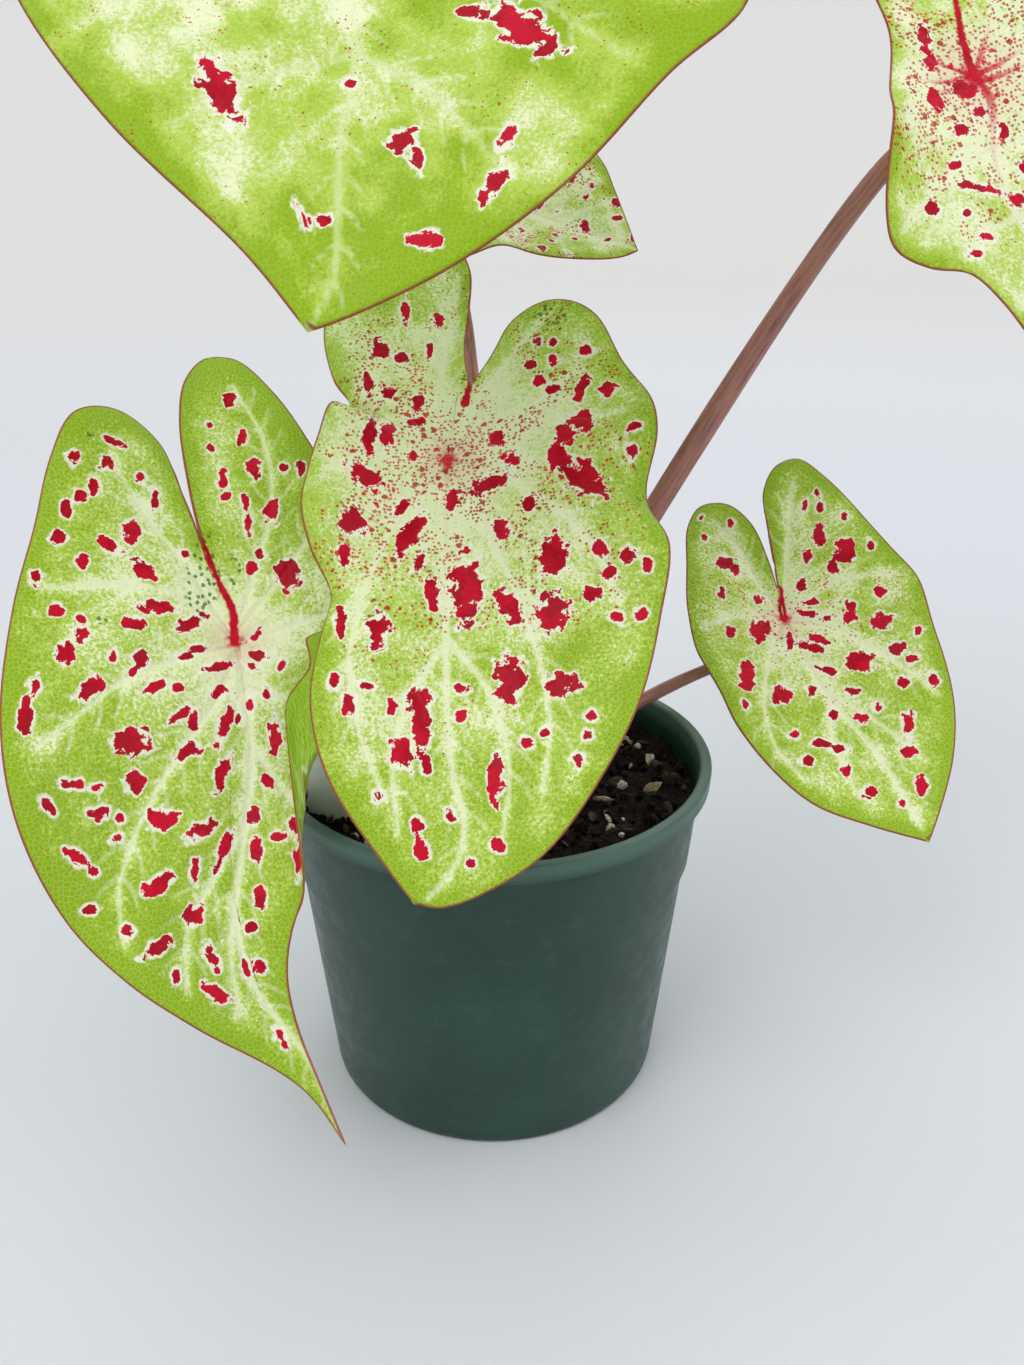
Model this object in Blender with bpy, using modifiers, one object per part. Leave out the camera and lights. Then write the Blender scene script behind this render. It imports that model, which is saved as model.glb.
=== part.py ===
"""Caladium in a nursery pot: six heart-shaped leaves on their petioles, growing from a buried tuber.

Metres, +Z up. The origin is the centre of the pot's base, and the plant's open side faces -Y.
"""
from dataclasses import dataclass

import bmesh
import bpy
import numpy as np

MM = 0.001

# Driving dimensions of the pot
POT_HEIGHT = 88.0 * MM
POT_RIM_RADIUS = 55.0 * MM
POT_RIM_DEPTH = 4.5 * MM
POT_RIM_WIDTH = 2.9 * MM
POT_NECK_RADIUS = 52.8 * MM
POT_COLLAR_Z = 62.0 * MM
POT_COLLAR_RADIUS = 50.5 * MM
POT_COLLAR_STEP = 0.9 * MM
POT_BASE_RADIUS = 43.5 * MM
POT_COLLAR_BLEND = 1.2 * MM
POT_FOOT_BEVEL = 2.0 * MM
POT_RIM_BEVEL = 0.8 * MM
POT_RIM_FLARE = 0.7 * MM
POT_RIM_DRAFT = 0.3 * MM
POT_SMALL_STEP = 0.6 * MM
POT_SECTORS = 48
POT_WALL = 1.2 * MM
POT_FLOOR = 2.0 * MM
DRAIN_RADIUS = 4.0 * MM
DRAIN_CIRCLE = 31.0 * MM
DRAIN_COUNT = 6
DRAIN_SECTORS = 12

# Driving dimensions of what fills the pot
GAP = 0.3 * MM
SOIL_DROP = 8.0 * MM
SOIL_BUMP = 0.52 * MM
SOIL_INSET = POT_WALL + GAP + 0.1 * MM
SOIL_RINGS = 7
SOIL_SECTORS = 36
TUBER_RADIUS = 21.0 * MM
TUBER_HEIGHT = 26.0 * MM
TUBER_TOP_Z = 61.5 * MM
LABEL_SIZE = (14.0 * MM, 0.8 * MM, 62.0 * MM)
LABEL_PLACE = (-37.0 * MM, -21.0 * MM)
LABEL_TOP_Z = 112.0 * MM
LABEL_TURN = np.radians(-12.0)
LABEL_POINT = 12.0 * MM
LABEL_CHAMFER = 2.0 * MM
LABEL_SLOT = 0.4 * MM

# Driving dimensions shared by all leaves
BLADE_THICKNESS = 0.7 * MM
FOLD_ROUNDING = 6.0 * MM
CUP_SPAN = 50.0 * MM
SIDE_STEPS = 22
RING_REACH = (0.25, 0.46, 0.6, 0.67, 0.74, 0.83, 0.92, 1.0)
RIPPLE_RISE = 2.5
PETIOLE_STEPS = 22
PETIOLE_SLEEVE = 0.4 * MM
PETIOLE_SLEEVE_START = 4.0 * MM
PETIOLE_LANDING = 12.0 * MM


@dataclass
class Leaf:
    """One leaf. Lengths are millimetres and angles degrees.

    The margins are (across, along) points measured on the flattened blade from the junction, where
    the petiole meets it: along runs to the tip, across to the right as the upper face is seen from
    the tip. heading turns the tip from -Y towards +X, dip lowers it, and roll lifts the right half.
    droop and lobe_droop bend the midrib per 100 mm towards the tip and towards the lobes. fold
    raises both halves from the midrib, and cup raises them further out.
    A ripple is (bearing, half width, height) of the margin, and a curl is (bearing, half width,
    rim in mm, fold radius, turn) where the rim is folded up and over, with the bearing measured
    from the tip, positive to the right. bow swings the midrib sideways as it runs to the tip.
    """

    name: str
    junction: tuple
    heading: float
    dip: float
    roll: float
    droop: float
    lobe_droop: float
    fold: float
    cup: float
    left: list
    right: list
    ripples: list
    stem: list
    stem_radii: tuple
    curls: tuple = ()
    bow: tuple = (0.0, 0.0, 0.0)


LEAVES = [
    Leaf(
        name="left_leaf", junction=(-57, -22, 126.5), heading=14, dip=46, roll=-6,
        droop=18, lobe_droop=12, fold=20, cup=-4,
        left=[(-5.5, -24), (-9.5, -38), (-14, -50), (-23, -56), (-33, -53), (-39, -41), (-43, -25),
              (-48, -4), (-51, 18), (-49, 38), (-41, 57), (-30, 70), (-17, 81), (5, 98), (13, 111)],
        right=[(-5.5, -24), (-7.5, -38), (-8.5, -58), (-6, -72), (0, -80), (7, -79), (16, -66),
               (25, -44), (30, -29), (36, -14), (42, 0), (45, 14), (41, 27), (31, 38), (20, 47),
               (13, 54), (7, 62), (4, 73), (5, 84), (9, 98), (13, 111)],
        ripples=[(-150, 14, 3), (-120, 16, -2), (-60, 14, 2), (-30, 10, -4), (12, 9, 3)],
        curls=((53, 43, 20.4, 2.4, 176),), bow=(-81, 146, -57),
        stem=[(-9, -2, 62), (-11, -2.5, 84), (-35, -8, 108)], stem_radii=(2.7, 1.9)),
    Leaf(
        name="centre_leaf", junction=(-10, 4, 161), heading=3, dip=40, roll=4,
        droop=14, lobe_droop=4, fold=14, cup=-2,
        left=[(6, -21), (5, -33), (6.6, -47), (7, -59), (3, -69), (-5, -72), (-15, -66), (-25, -52),
              (-30, -38), (-28, -26), (-24, -19), (-27, -12), (-31, -2), (-33, 14), (-31, 25),
              (-27, 34), (-29, 48), (-30, 61), (-26, 77), (-15, 94), (-9, 102)],
        right=[(6, -21), (11, -28), (17, -38), (24, -41), (31, -39), (38, -33), (43, -20), (48, -8),
               (49, 3), (46, 13), (46, 20), (49, 31), (46, 46), (41, 62), (33, 76), (20, 92),
               (9, 99), (-3, 103), (-9, 102)],
        ripples=[(-130, 9, -6), (-112, 10, 4), (-62, 12, 3), (-40, 9, -4), (-22, 10, 3),
                 (20, 12, -2), (55, 10, 3), (72, 9, -4), (92, 10, 3), (140, 14, 3)],
        stem=[(-2, 1, 62), (-2, 2, 82), (-6, 11, 122)], stem_radii=(2.7, 2.0)),
    Leaf(
        name="top_leaf", junction=(-23, 24, 297), heading=-2, dip=37, roll=0,
        droop=16, lobe_droop=8, fold=10, cup=-2,
        left=[(2, -24), (-4, -40), (-14, -56), (-30, -65), (-46, -59), (-58, -42), (-66, -18),
              (-69, 8), (-68, 34), (-63, 58), (-56, 75), (-38, 98), (-14, 120), (-3, 133)],
        right=[(2, -24), (8, -40), (18, -56), (34, -64), (50, -57), (62, -40), (70, -16), (73, 10),
               (74, 36), (73, 60), (70, 79), (57, 92), (41, 109), (21, 123), (0, 132), (-3, 133)],
        ripples=[(-110, 18, -4), (-60, 16, 3), (35, 12, 2), (60, 15, -2), (120, 18, 5)],
        stem=[(-3, 9, 62), (-3.5, 12, 82), (-8, 38, 138), (-13, 65, 203), (-18, 57, 256)],
        stem_radii=(3.3, 2.3)),
    Leaf(
        name="rear_leaf", junction=(-15, 108, 216), heading=74, dip=12, roll=35,
        droop=12, lobe_droop=8, fold=14, cup=-2,
        left=[(0, -9), (-5, -18), (-13, -27), (-22, -27), (-29, -17), (-32, -3), (-31, 10),
              (-26, 21), (-20, 33), (-15, 43), (-9, 52), (-4, 57), (1, 60)],
        right=[(0, -9), (6, -18), (14, -28), (24, -28), (32, -19), (36, -5), (37, 11), (34, 26),
               (26, 39), (18, 46), (12, 51), (6, 56), (1, 60)],
        ripples=[(-65, 12, -3), (-40, 10, 3), (60, 14, -3), (120, 14, 3)],
        stem=[(3, 14, 62), (3, 16, 82), (-3, 56, 132), (-9, 105, 180)], stem_radii=(2.4, 1.7)),
    Leaf(
        name="high_right_leaf", junction=(104, 18, 241), heading=40, dip=50, roll=25,
        droop=15, lobe_droop=40, fold=8, cup=2,
        left=[(8.2, -23), (10.6, -31), (9, -39), (2, -43), (-5, -38), (-9, -28), (-13, -16), (-22, -2),
              (-30, 11), (-35, 23), (-36, 31), (-31, 38), (-23, 42), (-18, 50), (-14, 60),
              (-8, 71), (2, 82)],
        right=[(8.2, -23), (13, -32), (20, -39), (29, -38), (36, -28), (40, -12), (42, 6), (41, 22),
               (37, 38), (29, 53), (19, 67), (9, 77), (2, 82)],
        ripples=[(-78, 12, 3), (-50, 12, -4), (60, 16, -4), (110, 16, 4)],
        stem=[(4, 6, 62), (6, 7, 84), (38.6, 14, 145), (92, 34, 223)], stem_radii=(3.2, 2.3)),
    Leaf(
        name="low_right_leaf", junction=(77, 27, 113), heading=31, dip=28, roll=24,
        droop=14, lobe_droop=10, fold=12, cup=-2,
        left=[(4.2, -9), (7.4, -18), (10.6, -31), (9, -41), (3, -45), (-4, -41), (-13, -28), (-21, -15),
              (-26, -2), (-28, 12), (-30, 24), (-28, 38), (-23, 50), (-13, 60), (-2, 69)],
        right=[(4.2, -9), (8.4, -17), (13.8, -28), (19, -37), (27, -42), (33, -40), (35, -30), (35, -12),
               (34, 8), (30, 22), (24, 40), (15, 53), (5, 63), (-2, 69)],
        ripples=[(-100, 14, -2), (-50, 14, 2), (30, 12, -2), (70, 14, 3)],
        stem=[(12, 3, 62), (15, 5, 82), (39, 22, 91), (60, 32, 97)], stem_radii=(2.1, 1.4)),
]


def smooth_curve(points, count):
    """count + 1 evenly spaced points along a Catmull-Rom curve through the points given."""
    points = np.array(points, float)
    knots = np.append(0.0, np.cumsum(np.linalg.norm(np.diff(points, axis=0), axis=1) ** 0.5))
    slopes = np.gradient(points, knots, axis=0)
    fine = np.linspace(0.0, knots[-1], 40 * len(points))
    cell = np.clip(np.searchsorted(knots, fine, side="right") - 1, 0, len(points) - 2)
    width = (knots[cell + 1] - knots[cell])[:, None]
    u = (fine - knots[cell])[:, None] / width
    curve = ((2 * u**3 - 3 * u**2 + 1) * points[cell] + (u**3 - 2 * u**2 + u) * width * slopes[cell]
             + (3 * u**2 - 2 * u**3) * points[cell + 1] + (u**3 - u**2) * width * slopes[cell + 1])
    run = np.append(0.0, np.cumsum(np.linalg.norm(np.diff(curve, axis=0), axis=1)))
    even = np.linspace(0.0, run[-1], count + 1)
    return np.stack([np.interp(even, run, axis) for axis in curve.T], axis=1)


def margin_points(leaf, steps):
    """The flattened outline from the notch round the left side, the tip and the right side."""
    left = smooth_curve(leaf.left, steps)
    right = smooth_curve(leaf.right, steps)
    return np.concatenate([left, right[-2:0:-1]]) * MM


def blade_axes(leaf):
    """Unit vectors of the level heading, of level to the right of it, and of up."""
    turn = np.radians(leaf.heading)
    ahead = np.array([np.sin(turn), -np.cos(turn), 0.0])
    up = np.array([0.0, 0.0, 1.0])
    return ahead, np.cross(up, ahead), up


def bow(leaf, along):
    """How far across the midrib has swung at this distance along it: a polynomial past the junction."""
    square, cube, fourth = leaf.bow
    ahead = np.maximum(along, 0.0) / (100.0 * MM)
    return (square + cube * ahead + fourth * ahead**2) * ahead**2 * MM


def straightened(leaf, margin):
    """The margin points with the midrib's bow taken out, so that rays from the junction meet each once."""
    return np.column_stack([margin[:, 0] - bow(leaf, margin[:, 1]), margin[:, 1]])


def blade_surface(leaf, margin, reach):
    """Points of the bent blade, and its upper normal, for each margin point at each reach (0 to 1).

    A point lies at reach times its straightened margin point, and is swung back by the bow. A curl
    turns the rim up round a small circle and leaves the rest of it as a straight flap. The fold,
    the cup and the ripples lift the point, and the midrib's arc carries it along.
    """
    ahead, beside, up = blade_axes(leaf)
    margin = straightened(leaf, margin)
    size = np.linalg.norm(margin, axis=1)
    bearing = np.degrees(np.arctan2(margin[:, 0], margin[:, 1]))
    radius = reach[:, None] * size
    lift = np.zeros_like(radius)
    for centre, spread, rim, fold_radius, turn in leaf.curls:
        offset = np.minimum(np.abs(bearing - centre) / spread, 1.0)
        beyond = np.maximum(radius - size + rim * MM * (1.0 - offset**6) ** 2, 0.0)
        turned = np.minimum(beyond / (fold_radius * MM), np.radians(turn))
        flap = beyond - turned * fold_radius * MM
        radius = radius - beyond + fold_radius * MM * np.sin(turned) + flap * np.cos(turned)
        lift = lift + fold_radius * MM * (1.0 - np.cos(turned)) + flap * np.sin(turned)
    for centre, spread, height in leaf.ripples:
        offset = (bearing - centre + 180.0) % 360.0 - 180.0
        lift = lift + height * MM * np.exp(-((offset / spread) ** 2)) * reach[:, None] ** RIPPLE_RISE
    along = radius * margin[:, 1] / size
    across = radius * margin[:, 0] / size + bow(leaf, along)
    arm = np.sqrt(across**2 + FOLD_ROUNDING**2) - FOLD_ROUNDING
    fold = np.radians(leaf.fold)
    lift = lift + arm * np.sin(fold) + leaf.cup * MM * (arm / CUP_SPAN) ** 2
    bend = np.radians(np.where(along > 0.0, leaf.droop, leaf.lobe_droop)) / (100.0 * MM)
    start = np.radians(leaf.dip)
    angle = (start + bend * along)[..., None]
    forward = (np.sin(angle[..., 0]) - np.sin(start)) / bend
    rise = (np.cos(angle[..., 0]) - np.cos(start)) / bend
    spine = forward[..., None] * ahead + rise[..., None] * up
    normal = np.sin(angle) * ahead + np.cos(angle) * up
    roll = np.radians(leaf.roll)
    right = np.cos(roll) * beside + np.sin(roll) * normal
    above = np.cos(roll) * normal - np.sin(roll) * beside
    place = np.array(leaf.junction) * MM
    return place + spine + (across * np.cos(fold))[..., None] * right + lift[..., None] * above


def junction_normal(leaf):
    """The upper normal of the blade where the petiole meets it."""
    ahead, beside, up = blade_axes(leaf)
    dip = np.radians(leaf.dip)
    roll = np.radians(leaf.roll)
    normal = np.sin(dip) * ahead + np.cos(dip) * up
    return np.cos(roll) * normal - np.sin(roll) * beside


def sheet_triangles(rings, around):
    """Triangles of a fan round vertex 0 and of the rings outside it, as rows of vertex numbers."""
    here = np.arange(around)
    after = (here + 1) % around
    fan = np.stack([np.zeros(around, int), 1 + here, 1 + after], axis=1)
    bands = []
    for ring in range(rings - 1):
        inner = 1 + ring * around
        outer = inner + around
        bands.append(np.stack([inner + here, outer + here, outer + after], axis=1))
        bands.append(np.stack([inner + here, outer + after, inner + after], axis=1))
    return np.concatenate([fan] + bands)


def vertex_normals(points, triangles):
    """Unit normals of the vertices, each the sum of the normals of the triangles round it."""
    corners = points[triangles]
    faces = np.cross(corners[:, 1] - corners[:, 0], corners[:, 2] - corners[:, 0])
    normals = np.zeros_like(points)
    for corner in range(3):
        np.add.at(normals, triangles[:, corner], faces)
    return normals / np.linalg.norm(normals, axis=1)[:, None]


def material(name, colour, roughness, metallic=0.0):
    """A plain Principled material."""
    made = bpy.data.materials.new(name)
    made.use_nodes = True
    shader = made.node_tree.nodes["Principled BSDF"]
    shader.inputs["Base Color"].default_value = (*colour, 1.0)
    shader.inputs["Roughness"].default_value = roughness
    shader.inputs["Metallic"].default_value = metallic
    return made


def new_object(name, mesh, collection, finish=None):
    """An object of this mesh in the collection, shaded smooth up to 40 degrees."""
    made = bpy.data.objects.new(name, mesh)
    collection.objects.link(made)
    if finish:
        mesh.materials.append(finish)
    if made.type == "MESH":
        mesh.shade_smooth()
        mesh.set_sharp_from_angle(angle=np.radians(40.0))
    return made


def mesh_of(name, points, triangles):
    """A mesh of these points and triangles."""
    mesh = bpy.data.meshes.new(name)
    mesh.from_pydata(points.tolist(), [], triangles.tolist())
    mesh.update()
    return mesh


def blade(leaf, collection, finish):
    """The blade: its bent sheet raised and lowered by half the thickness, and closed at the rim."""
    margin = margin_points(leaf, SIDE_STEPS)
    around = len(margin)
    rings = blade_surface(leaf, margin, np.array(RING_REACH)).reshape(-1, 3)
    sheet = np.concatenate([[np.array(leaf.junction) * MM], rings])
    upper = sheet_triangles(len(RING_REACH), around)
    offset = vertex_normals(sheet, upper) * BLADE_THICKNESS / 2
    points = np.concatenate([sheet + offset, sheet - offset])
    rim = len(sheet) - around + np.arange(around)
    after = np.roll(rim, -1)
    below = len(sheet)
    triangles = np.concatenate([
        upper, upper[:, ::-1] + below,
        np.stack([rim, rim + below, after + below], axis=1),
        np.stack([rim, after + below, after], axis=1)])
    return new_object(leaf.name + "_blade", mesh_of(leaf.name, points, triangles), collection, finish)


def stem_path(leaf):
    """The petiole's centre line, from the tuber's crown to just under the blade."""
    down = junction_normal(leaf)
    top = np.array(leaf.junction) * MM - down * (BLADE_THICKNESS / 2 + GAP)
    landing = top - down * PETIOLE_LANDING
    points = np.concatenate([np.array(leaf.stem) * MM, [landing, top]])
    return smooth_curve(points, PETIOLE_STEPS)


def tube(name, path, radii, collection, finish=None):
    """A curve object along the path whose radius runs evenly from the first value to the second."""
    curve = bpy.data.curves.new(name, "CURVE")
    curve.dimensions = "3D"
    curve.bevel_depth = 1.0
    curve.bevel_resolution = 2
    curve.use_fill_caps = True
    spline = curve.splines.new("POLY")
    spline.points.add(len(path) - 1)
    for point, place, radius in zip(spline.points, path, np.linspace(*radii, len(path))):
        point.co = (*place, 1.0)
        point.radius = radius
    return new_object(name, curve, collection, finish)


def as_mesh(source, collection):
    """The curve object as a mesh object, its caps welded to its sides."""
    graph = bpy.context.evaluated_depsgraph_get()
    mesh = bpy.data.meshes.new_from_object(source.evaluated_get(graph))
    work = bmesh.new()
    work.from_mesh(mesh)
    bmesh.ops.remove_doubles(work, verts=work.verts, dist=1e-6)
    bmesh.ops.recalc_face_normals(work, faces=work.faces)
    work.to_mesh(mesh)
    work.free()
    name = source.name
    place = source.matrix_world.copy()
    bpy.data.objects.remove(source)
    made = bpy.data.objects.new(name, mesh)
    made.matrix_world = place
    collection.objects.link(made)
    return made


def turned(name, profile, steps, collection, finish):
    """The closed (radius, height) profile turned once round the Z axis."""
    mesh = bpy.data.meshes.new(name)
    edges = [(i, i + 1) for i in range(len(profile) - 1)]
    mesh.from_pydata([(radius, 0.0, height) for radius, height in profile], edges, [])
    made = new_object(name, mesh, collection, finish)
    screw = made.modifiers.new("turn", "SCREW")
    screw.steps = steps
    screw.render_steps = steps
    screw.use_merge_vertices = True
    screw.merge_threshold = 1e-5
    return made


def wall_radius(height):
    """The outer radius of the pot's wall at this height."""
    if height < POT_COLLAR_Z:
        top = POT_COLLAR_RADIUS - POT_COLLAR_STEP
        return np.interp(height, [0.0, POT_COLLAR_Z], [POT_BASE_RADIUS, top])
    return np.interp(height, [POT_COLLAR_Z, POT_HEIGHT], [POT_COLLAR_RADIUS, POT_NECK_RADIUS])


def pot(collection, finish):
    """The pot: a tapering wall with a wider collar and a thick rim, and drain holes in the floor."""
    lip_inner = POT_RIM_RADIUS - POT_RIM_WIDTH
    lip_under = POT_HEIGHT - POT_RIM_DEPTH
    blend_z = POT_COLLAR_Z + POT_COLLAR_BLEND
    profile = [
        (0.0, POT_FLOOR),
        (POT_BASE_RADIUS - POT_WALL - POT_FOOT_BEVEL, POT_FLOOR),
        (wall_radius(POT_FLOOR * 2) - POT_WALL, POT_FLOOR * 2),
        (wall_radius(POT_COLLAR_Z - MM) - POT_WALL, POT_COLLAR_Z - MM),
        (wall_radius(blend_z) - POT_WALL, blend_z),
        (lip_inner - POT_RIM_FLARE, lip_under),
        (lip_inner, POT_HEIGHT - POT_RIM_BEVEL),
        (lip_inner + POT_RIM_BEVEL, POT_HEIGHT),
        (POT_RIM_RADIUS - POT_RIM_BEVEL, POT_HEIGHT),
        (POT_RIM_RADIUS, POT_HEIGHT - POT_RIM_BEVEL),
        (POT_RIM_RADIUS - POT_RIM_DRAFT, lip_under),
        (wall_radius(lip_under - POT_SMALL_STEP), lip_under - POT_SMALL_STEP),
        (wall_radius(POT_COLLAR_Z + POT_SMALL_STEP), POT_COLLAR_Z + POT_SMALL_STEP),
        (wall_radius(POT_COLLAR_Z - POT_WALL / 10), POT_COLLAR_Z - POT_WALL / 10),
        (wall_radius(POT_FOOT_BEVEL), POT_FOOT_BEVEL),
        (POT_BASE_RADIUS - POT_FOOT_BEVEL, 0.0),
        (0.0, 0.0),
    ]
    return turned("pot", profile, POT_SECTORS, collection, finish)


def drain_cutters(collection):
    """A ring of upright cylinders through the pot's floor."""
    for number in range(DRAIN_COUNT):
        turn = 2.0 * np.pi * (number + 0.5) / DRAIN_COUNT
        bpy.ops.mesh.primitive_cylinder_add(
            vertices=DRAIN_SECTORS, radius=DRAIN_RADIUS, depth=POT_FLOOR * 4,
            location=(DRAIN_CIRCLE * np.cos(turn), DRAIN_CIRCLE * np.sin(turn), 0.0))
        move_to(bpy.context.object, collection)


def soil_height(x, y):
    """The height of the soil's top, a level with lumps made of four crossing waves."""
    wave = (np.sin(310 * x + 190 * y) + np.sin(140 * x - 330 * y + 1.3)
            + np.sin(520 * x + 90 * y + 2.1) + np.sin(-260 * x + 470 * y + 4.0))
    return POT_HEIGHT - SOIL_DROP + SOIL_BUMP * wave


def soil(collection, finish):
    """The potting mix: a lumpy top, sides that follow the pot's inner wall, and a level bottom."""
    turn = 2.0 * np.pi * np.arange(SOIL_SECTORS) / SOIL_SECTORS
    circle = np.stack([np.cos(turn), np.sin(turn)], axis=1)
    top_z = POT_HEIGHT - SOIL_DROP
    spread = wall_radius(top_z) - SOIL_INSET
    rings = [np.zeros((1, 2))] + [circle * spread * (i + 1) / SOIL_RINGS for i in range(SOIL_RINGS)]
    flat = np.concatenate(rings)
    top = np.column_stack([flat, soil_height(flat[:, 0], flat[:, 1])])
    foot = POT_FLOOR + GAP
    heights = [POT_COLLAR_Z + 2 * MM, POT_COLLAR_Z - 2 * MM, POT_FLOOR * 3]
    sides = [(wall_radius(z) - SOIL_INSET, z) for z in heights]
    sides.append((POT_BASE_RADIUS - SOIL_INSET - POT_FOOT_BEVEL - MM, foot))
    lower = [np.column_stack([circle * radius, np.full(SOIL_SECTORS, z)]) for radius, z in sides]
    points = np.concatenate([top] + lower + [[[0.0, 0.0, foot]]])
    bands = sheet_triangles(SOIL_RINGS + len(sides), SOIL_SECTORS)
    last = len(points) - 1 - SOIL_SECTORS + np.arange(SOIL_SECTORS)
    bottom = np.stack([last, np.full(SOIL_SECTORS, len(points) - 1), np.roll(last, -1)], axis=1)
    return new_object("soil", mesh_of("soil", points, np.concatenate([bands, bottom])), collection, finish)


def tuber(name, grow, collection, finish=None):
    """The knobbly flattened tuber, grown outwards by the allowance given."""
    work = bmesh.new()
    bmesh.ops.create_icosphere(work, subdivisions=2, radius=1.0)
    for vertex in work.verts:
        x, y, z = vertex.co
        knob = 1.0 + 0.05 * np.sin(5 * x + 2) * np.sin(4 * y + 1) * (1.0 - z * z)
        flat = (abs(x)**3 + abs(y)**3) ** (1 / 3) if z > 0 else np.hypot(x, y)
        crown = min(z, 0.82 - 0.06 * flat)
        vertex.co = (x * (TUBER_RADIUS * knob + grow), y * (TUBER_RADIUS * knob + grow),
                     crown * (TUBER_HEIGHT / 2 / 0.82 + grow))
    mesh = bpy.data.meshes.new(name)
    work.to_mesh(mesh)
    work.free()
    made = new_object(name, mesh, collection, finish)
    made.location.z = TUBER_TOP_Z - TUBER_HEIGHT / 2
    return made


def label(name, grow, collection, finish=None):
    """The blank plant label: a thin strip with a pointed foot, grown outwards by the allowance."""
    width, thickness, height = LABEL_SIZE
    half = width / 2 + grow
    outline = [(0.0, -height - grow), (half, -height + LABEL_POINT), (half, -LABEL_CHAMFER),
               (half - LABEL_CHAMFER, grow), (-half + LABEL_CHAMFER, grow), (-half, -LABEL_CHAMFER),
               (-half, -height + LABEL_POINT)]
    curve = bpy.data.curves.new(name, "CURVE")
    curve.dimensions = "2D"
    curve.fill_mode = "BOTH"
    curve.extrude = thickness / 2 + grow
    spline = curve.splines.new("POLY")
    spline.points.add(len(outline) - 1)
    spline.use_cyclic_u = True
    for corner, (x, y) in zip(spline.points, outline):
        corner.co = (x, y, 0.0, 1.0)
    made = new_object(name, curve, collection, finish)
    made.location = (*LABEL_PLACE, LABEL_TOP_Z)
    made.rotation_euler = (np.radians(90.0), 0.0, LABEL_TURN)
    return made


def cut(target, cutters):
    """Cuts every object of the collection out of the target."""
    modifier = target.modifiers.new("cut", "BOOLEAN")
    modifier.operation = "DIFFERENCE"
    modifier.operand_type = "COLLECTION"
    modifier.collection = cutters
    modifier.solver = "EXACT"


def move_to(made, collection):
    """Moves the object into this collection alone."""
    for old in made.users_collection:
        old.objects.unlink(made)
    collection.objects.link(made)


def hide_cutters(collection):
    """Keeps the collection's objects out of renders and draws them as wires."""
    for cutter in collection.objects:
        cutter.hide_render = True
        cutter.display_type = "WIRE"


def new_collection(name):
    """A collection of the scene."""
    made = bpy.data.collections.new(name)
    bpy.context.scene.collection.children.link(made)
    return made


def clear_scene():
    """Removes every object of the scene."""
    for old in list(bpy.data.objects):
        bpy.data.objects.remove(old)


def main():
    clear_scene()
    plant = new_collection("caladium")
    drains = new_collection("drain_cutters")
    hollows = new_collection("soil_cutters")
    lime = material("blade_lime", (0.42, 0.60, 0.10), 0.45)
    mauve = material("petiole_mauve", (0.26, 0.10, 0.08), 0.45)
    green = material("pot_green", (0.03, 0.08, 0.06), 0.4)
    peat = material("soil_peat", (0.03, 0.02, 0.015), 0.95)
    bark = material("tuber_bark", (0.22, 0.12, 0.06), 0.85)
    white = material("label_white", (0.8, 0.8, 0.85), 0.4)

    for leaf in LEAVES:
        blade(leaf, plant, lime)
        path = stem_path(leaf)
        radii = np.array(leaf.stem_radii) * MM
        tube(leaf.name + "_petiole", path, radii, plant, mauve)
        sleeve = path[:np.argmax(path[:, 2] > POT_HEIGHT) + 1].copy()
        sleeve[0, 2] -= PETIOLE_SLEEVE_START
        wide = radii[0] + PETIOLE_SLEEVE
        as_mesh(tube(leaf.name + "_sleeve", sleeve, (wide, wide), hollows), hollows)

    cut(pot(plant, green), drains)
    drain_cutters(drains)
    tuber("tuber", 0.0, plant, bark)
    tuber("tuber_hollow", 2 * GAP, hollows)
    label("plant_label", 0.0, plant, white)
    as_mesh(label("label_slot", LABEL_SLOT, hollows), hollows)
    cut(soil(plant, peat), hollows)
    hide_cutters(drains)
    hide_cutters(hollows)


if __name__ == "__main__":
    main()
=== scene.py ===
"""Potted caladium: lime and cream leaves splashed with crimson, on mauve stalks in a green nursery pot.

Metres, +Z up, in the frame of the solids that these pieces replace. Every blade is one flat outline
bent in space, and its veins and splotches are measured in millimetres on that flat outline.
"""
from dataclasses import dataclass, field

import bpy
import numpy as np
from bpy.props import FloatProperty, FloatVectorProperty, IntProperty, PointerProperty
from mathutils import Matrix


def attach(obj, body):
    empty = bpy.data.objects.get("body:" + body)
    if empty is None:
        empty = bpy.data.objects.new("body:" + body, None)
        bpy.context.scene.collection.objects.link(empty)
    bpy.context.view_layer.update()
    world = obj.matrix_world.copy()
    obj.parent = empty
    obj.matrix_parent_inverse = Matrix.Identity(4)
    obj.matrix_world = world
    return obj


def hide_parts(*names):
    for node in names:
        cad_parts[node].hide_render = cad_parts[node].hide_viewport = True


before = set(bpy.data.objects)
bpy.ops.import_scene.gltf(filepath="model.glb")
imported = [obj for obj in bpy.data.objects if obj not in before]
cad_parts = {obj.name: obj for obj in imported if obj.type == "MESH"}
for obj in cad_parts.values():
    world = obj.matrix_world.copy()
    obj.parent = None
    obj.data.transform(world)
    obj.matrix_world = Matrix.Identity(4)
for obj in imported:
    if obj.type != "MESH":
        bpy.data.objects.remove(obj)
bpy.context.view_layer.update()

bl_info = {
    "name": "Potted caladium",
    "version": (1, 0, 0),
    "blender": (4, 5, 0),
    "location": "3D View > Sidebar > Caladium",
    "description": "Builds a caladium with crimson splashed leaves in a green nursery pot",
    "category": "Object",
}

MM = 0.001

# The bent blade, as in the solids
BLADE_GAP = 0.65 * MM
FOLD_ROUNDING = 6.0 * MM
CUP_SPAN = 50.0 * MM
RIPPLE_RISE = 2.5
PETIOLE_LANDING = 12.0 * MM

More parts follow.
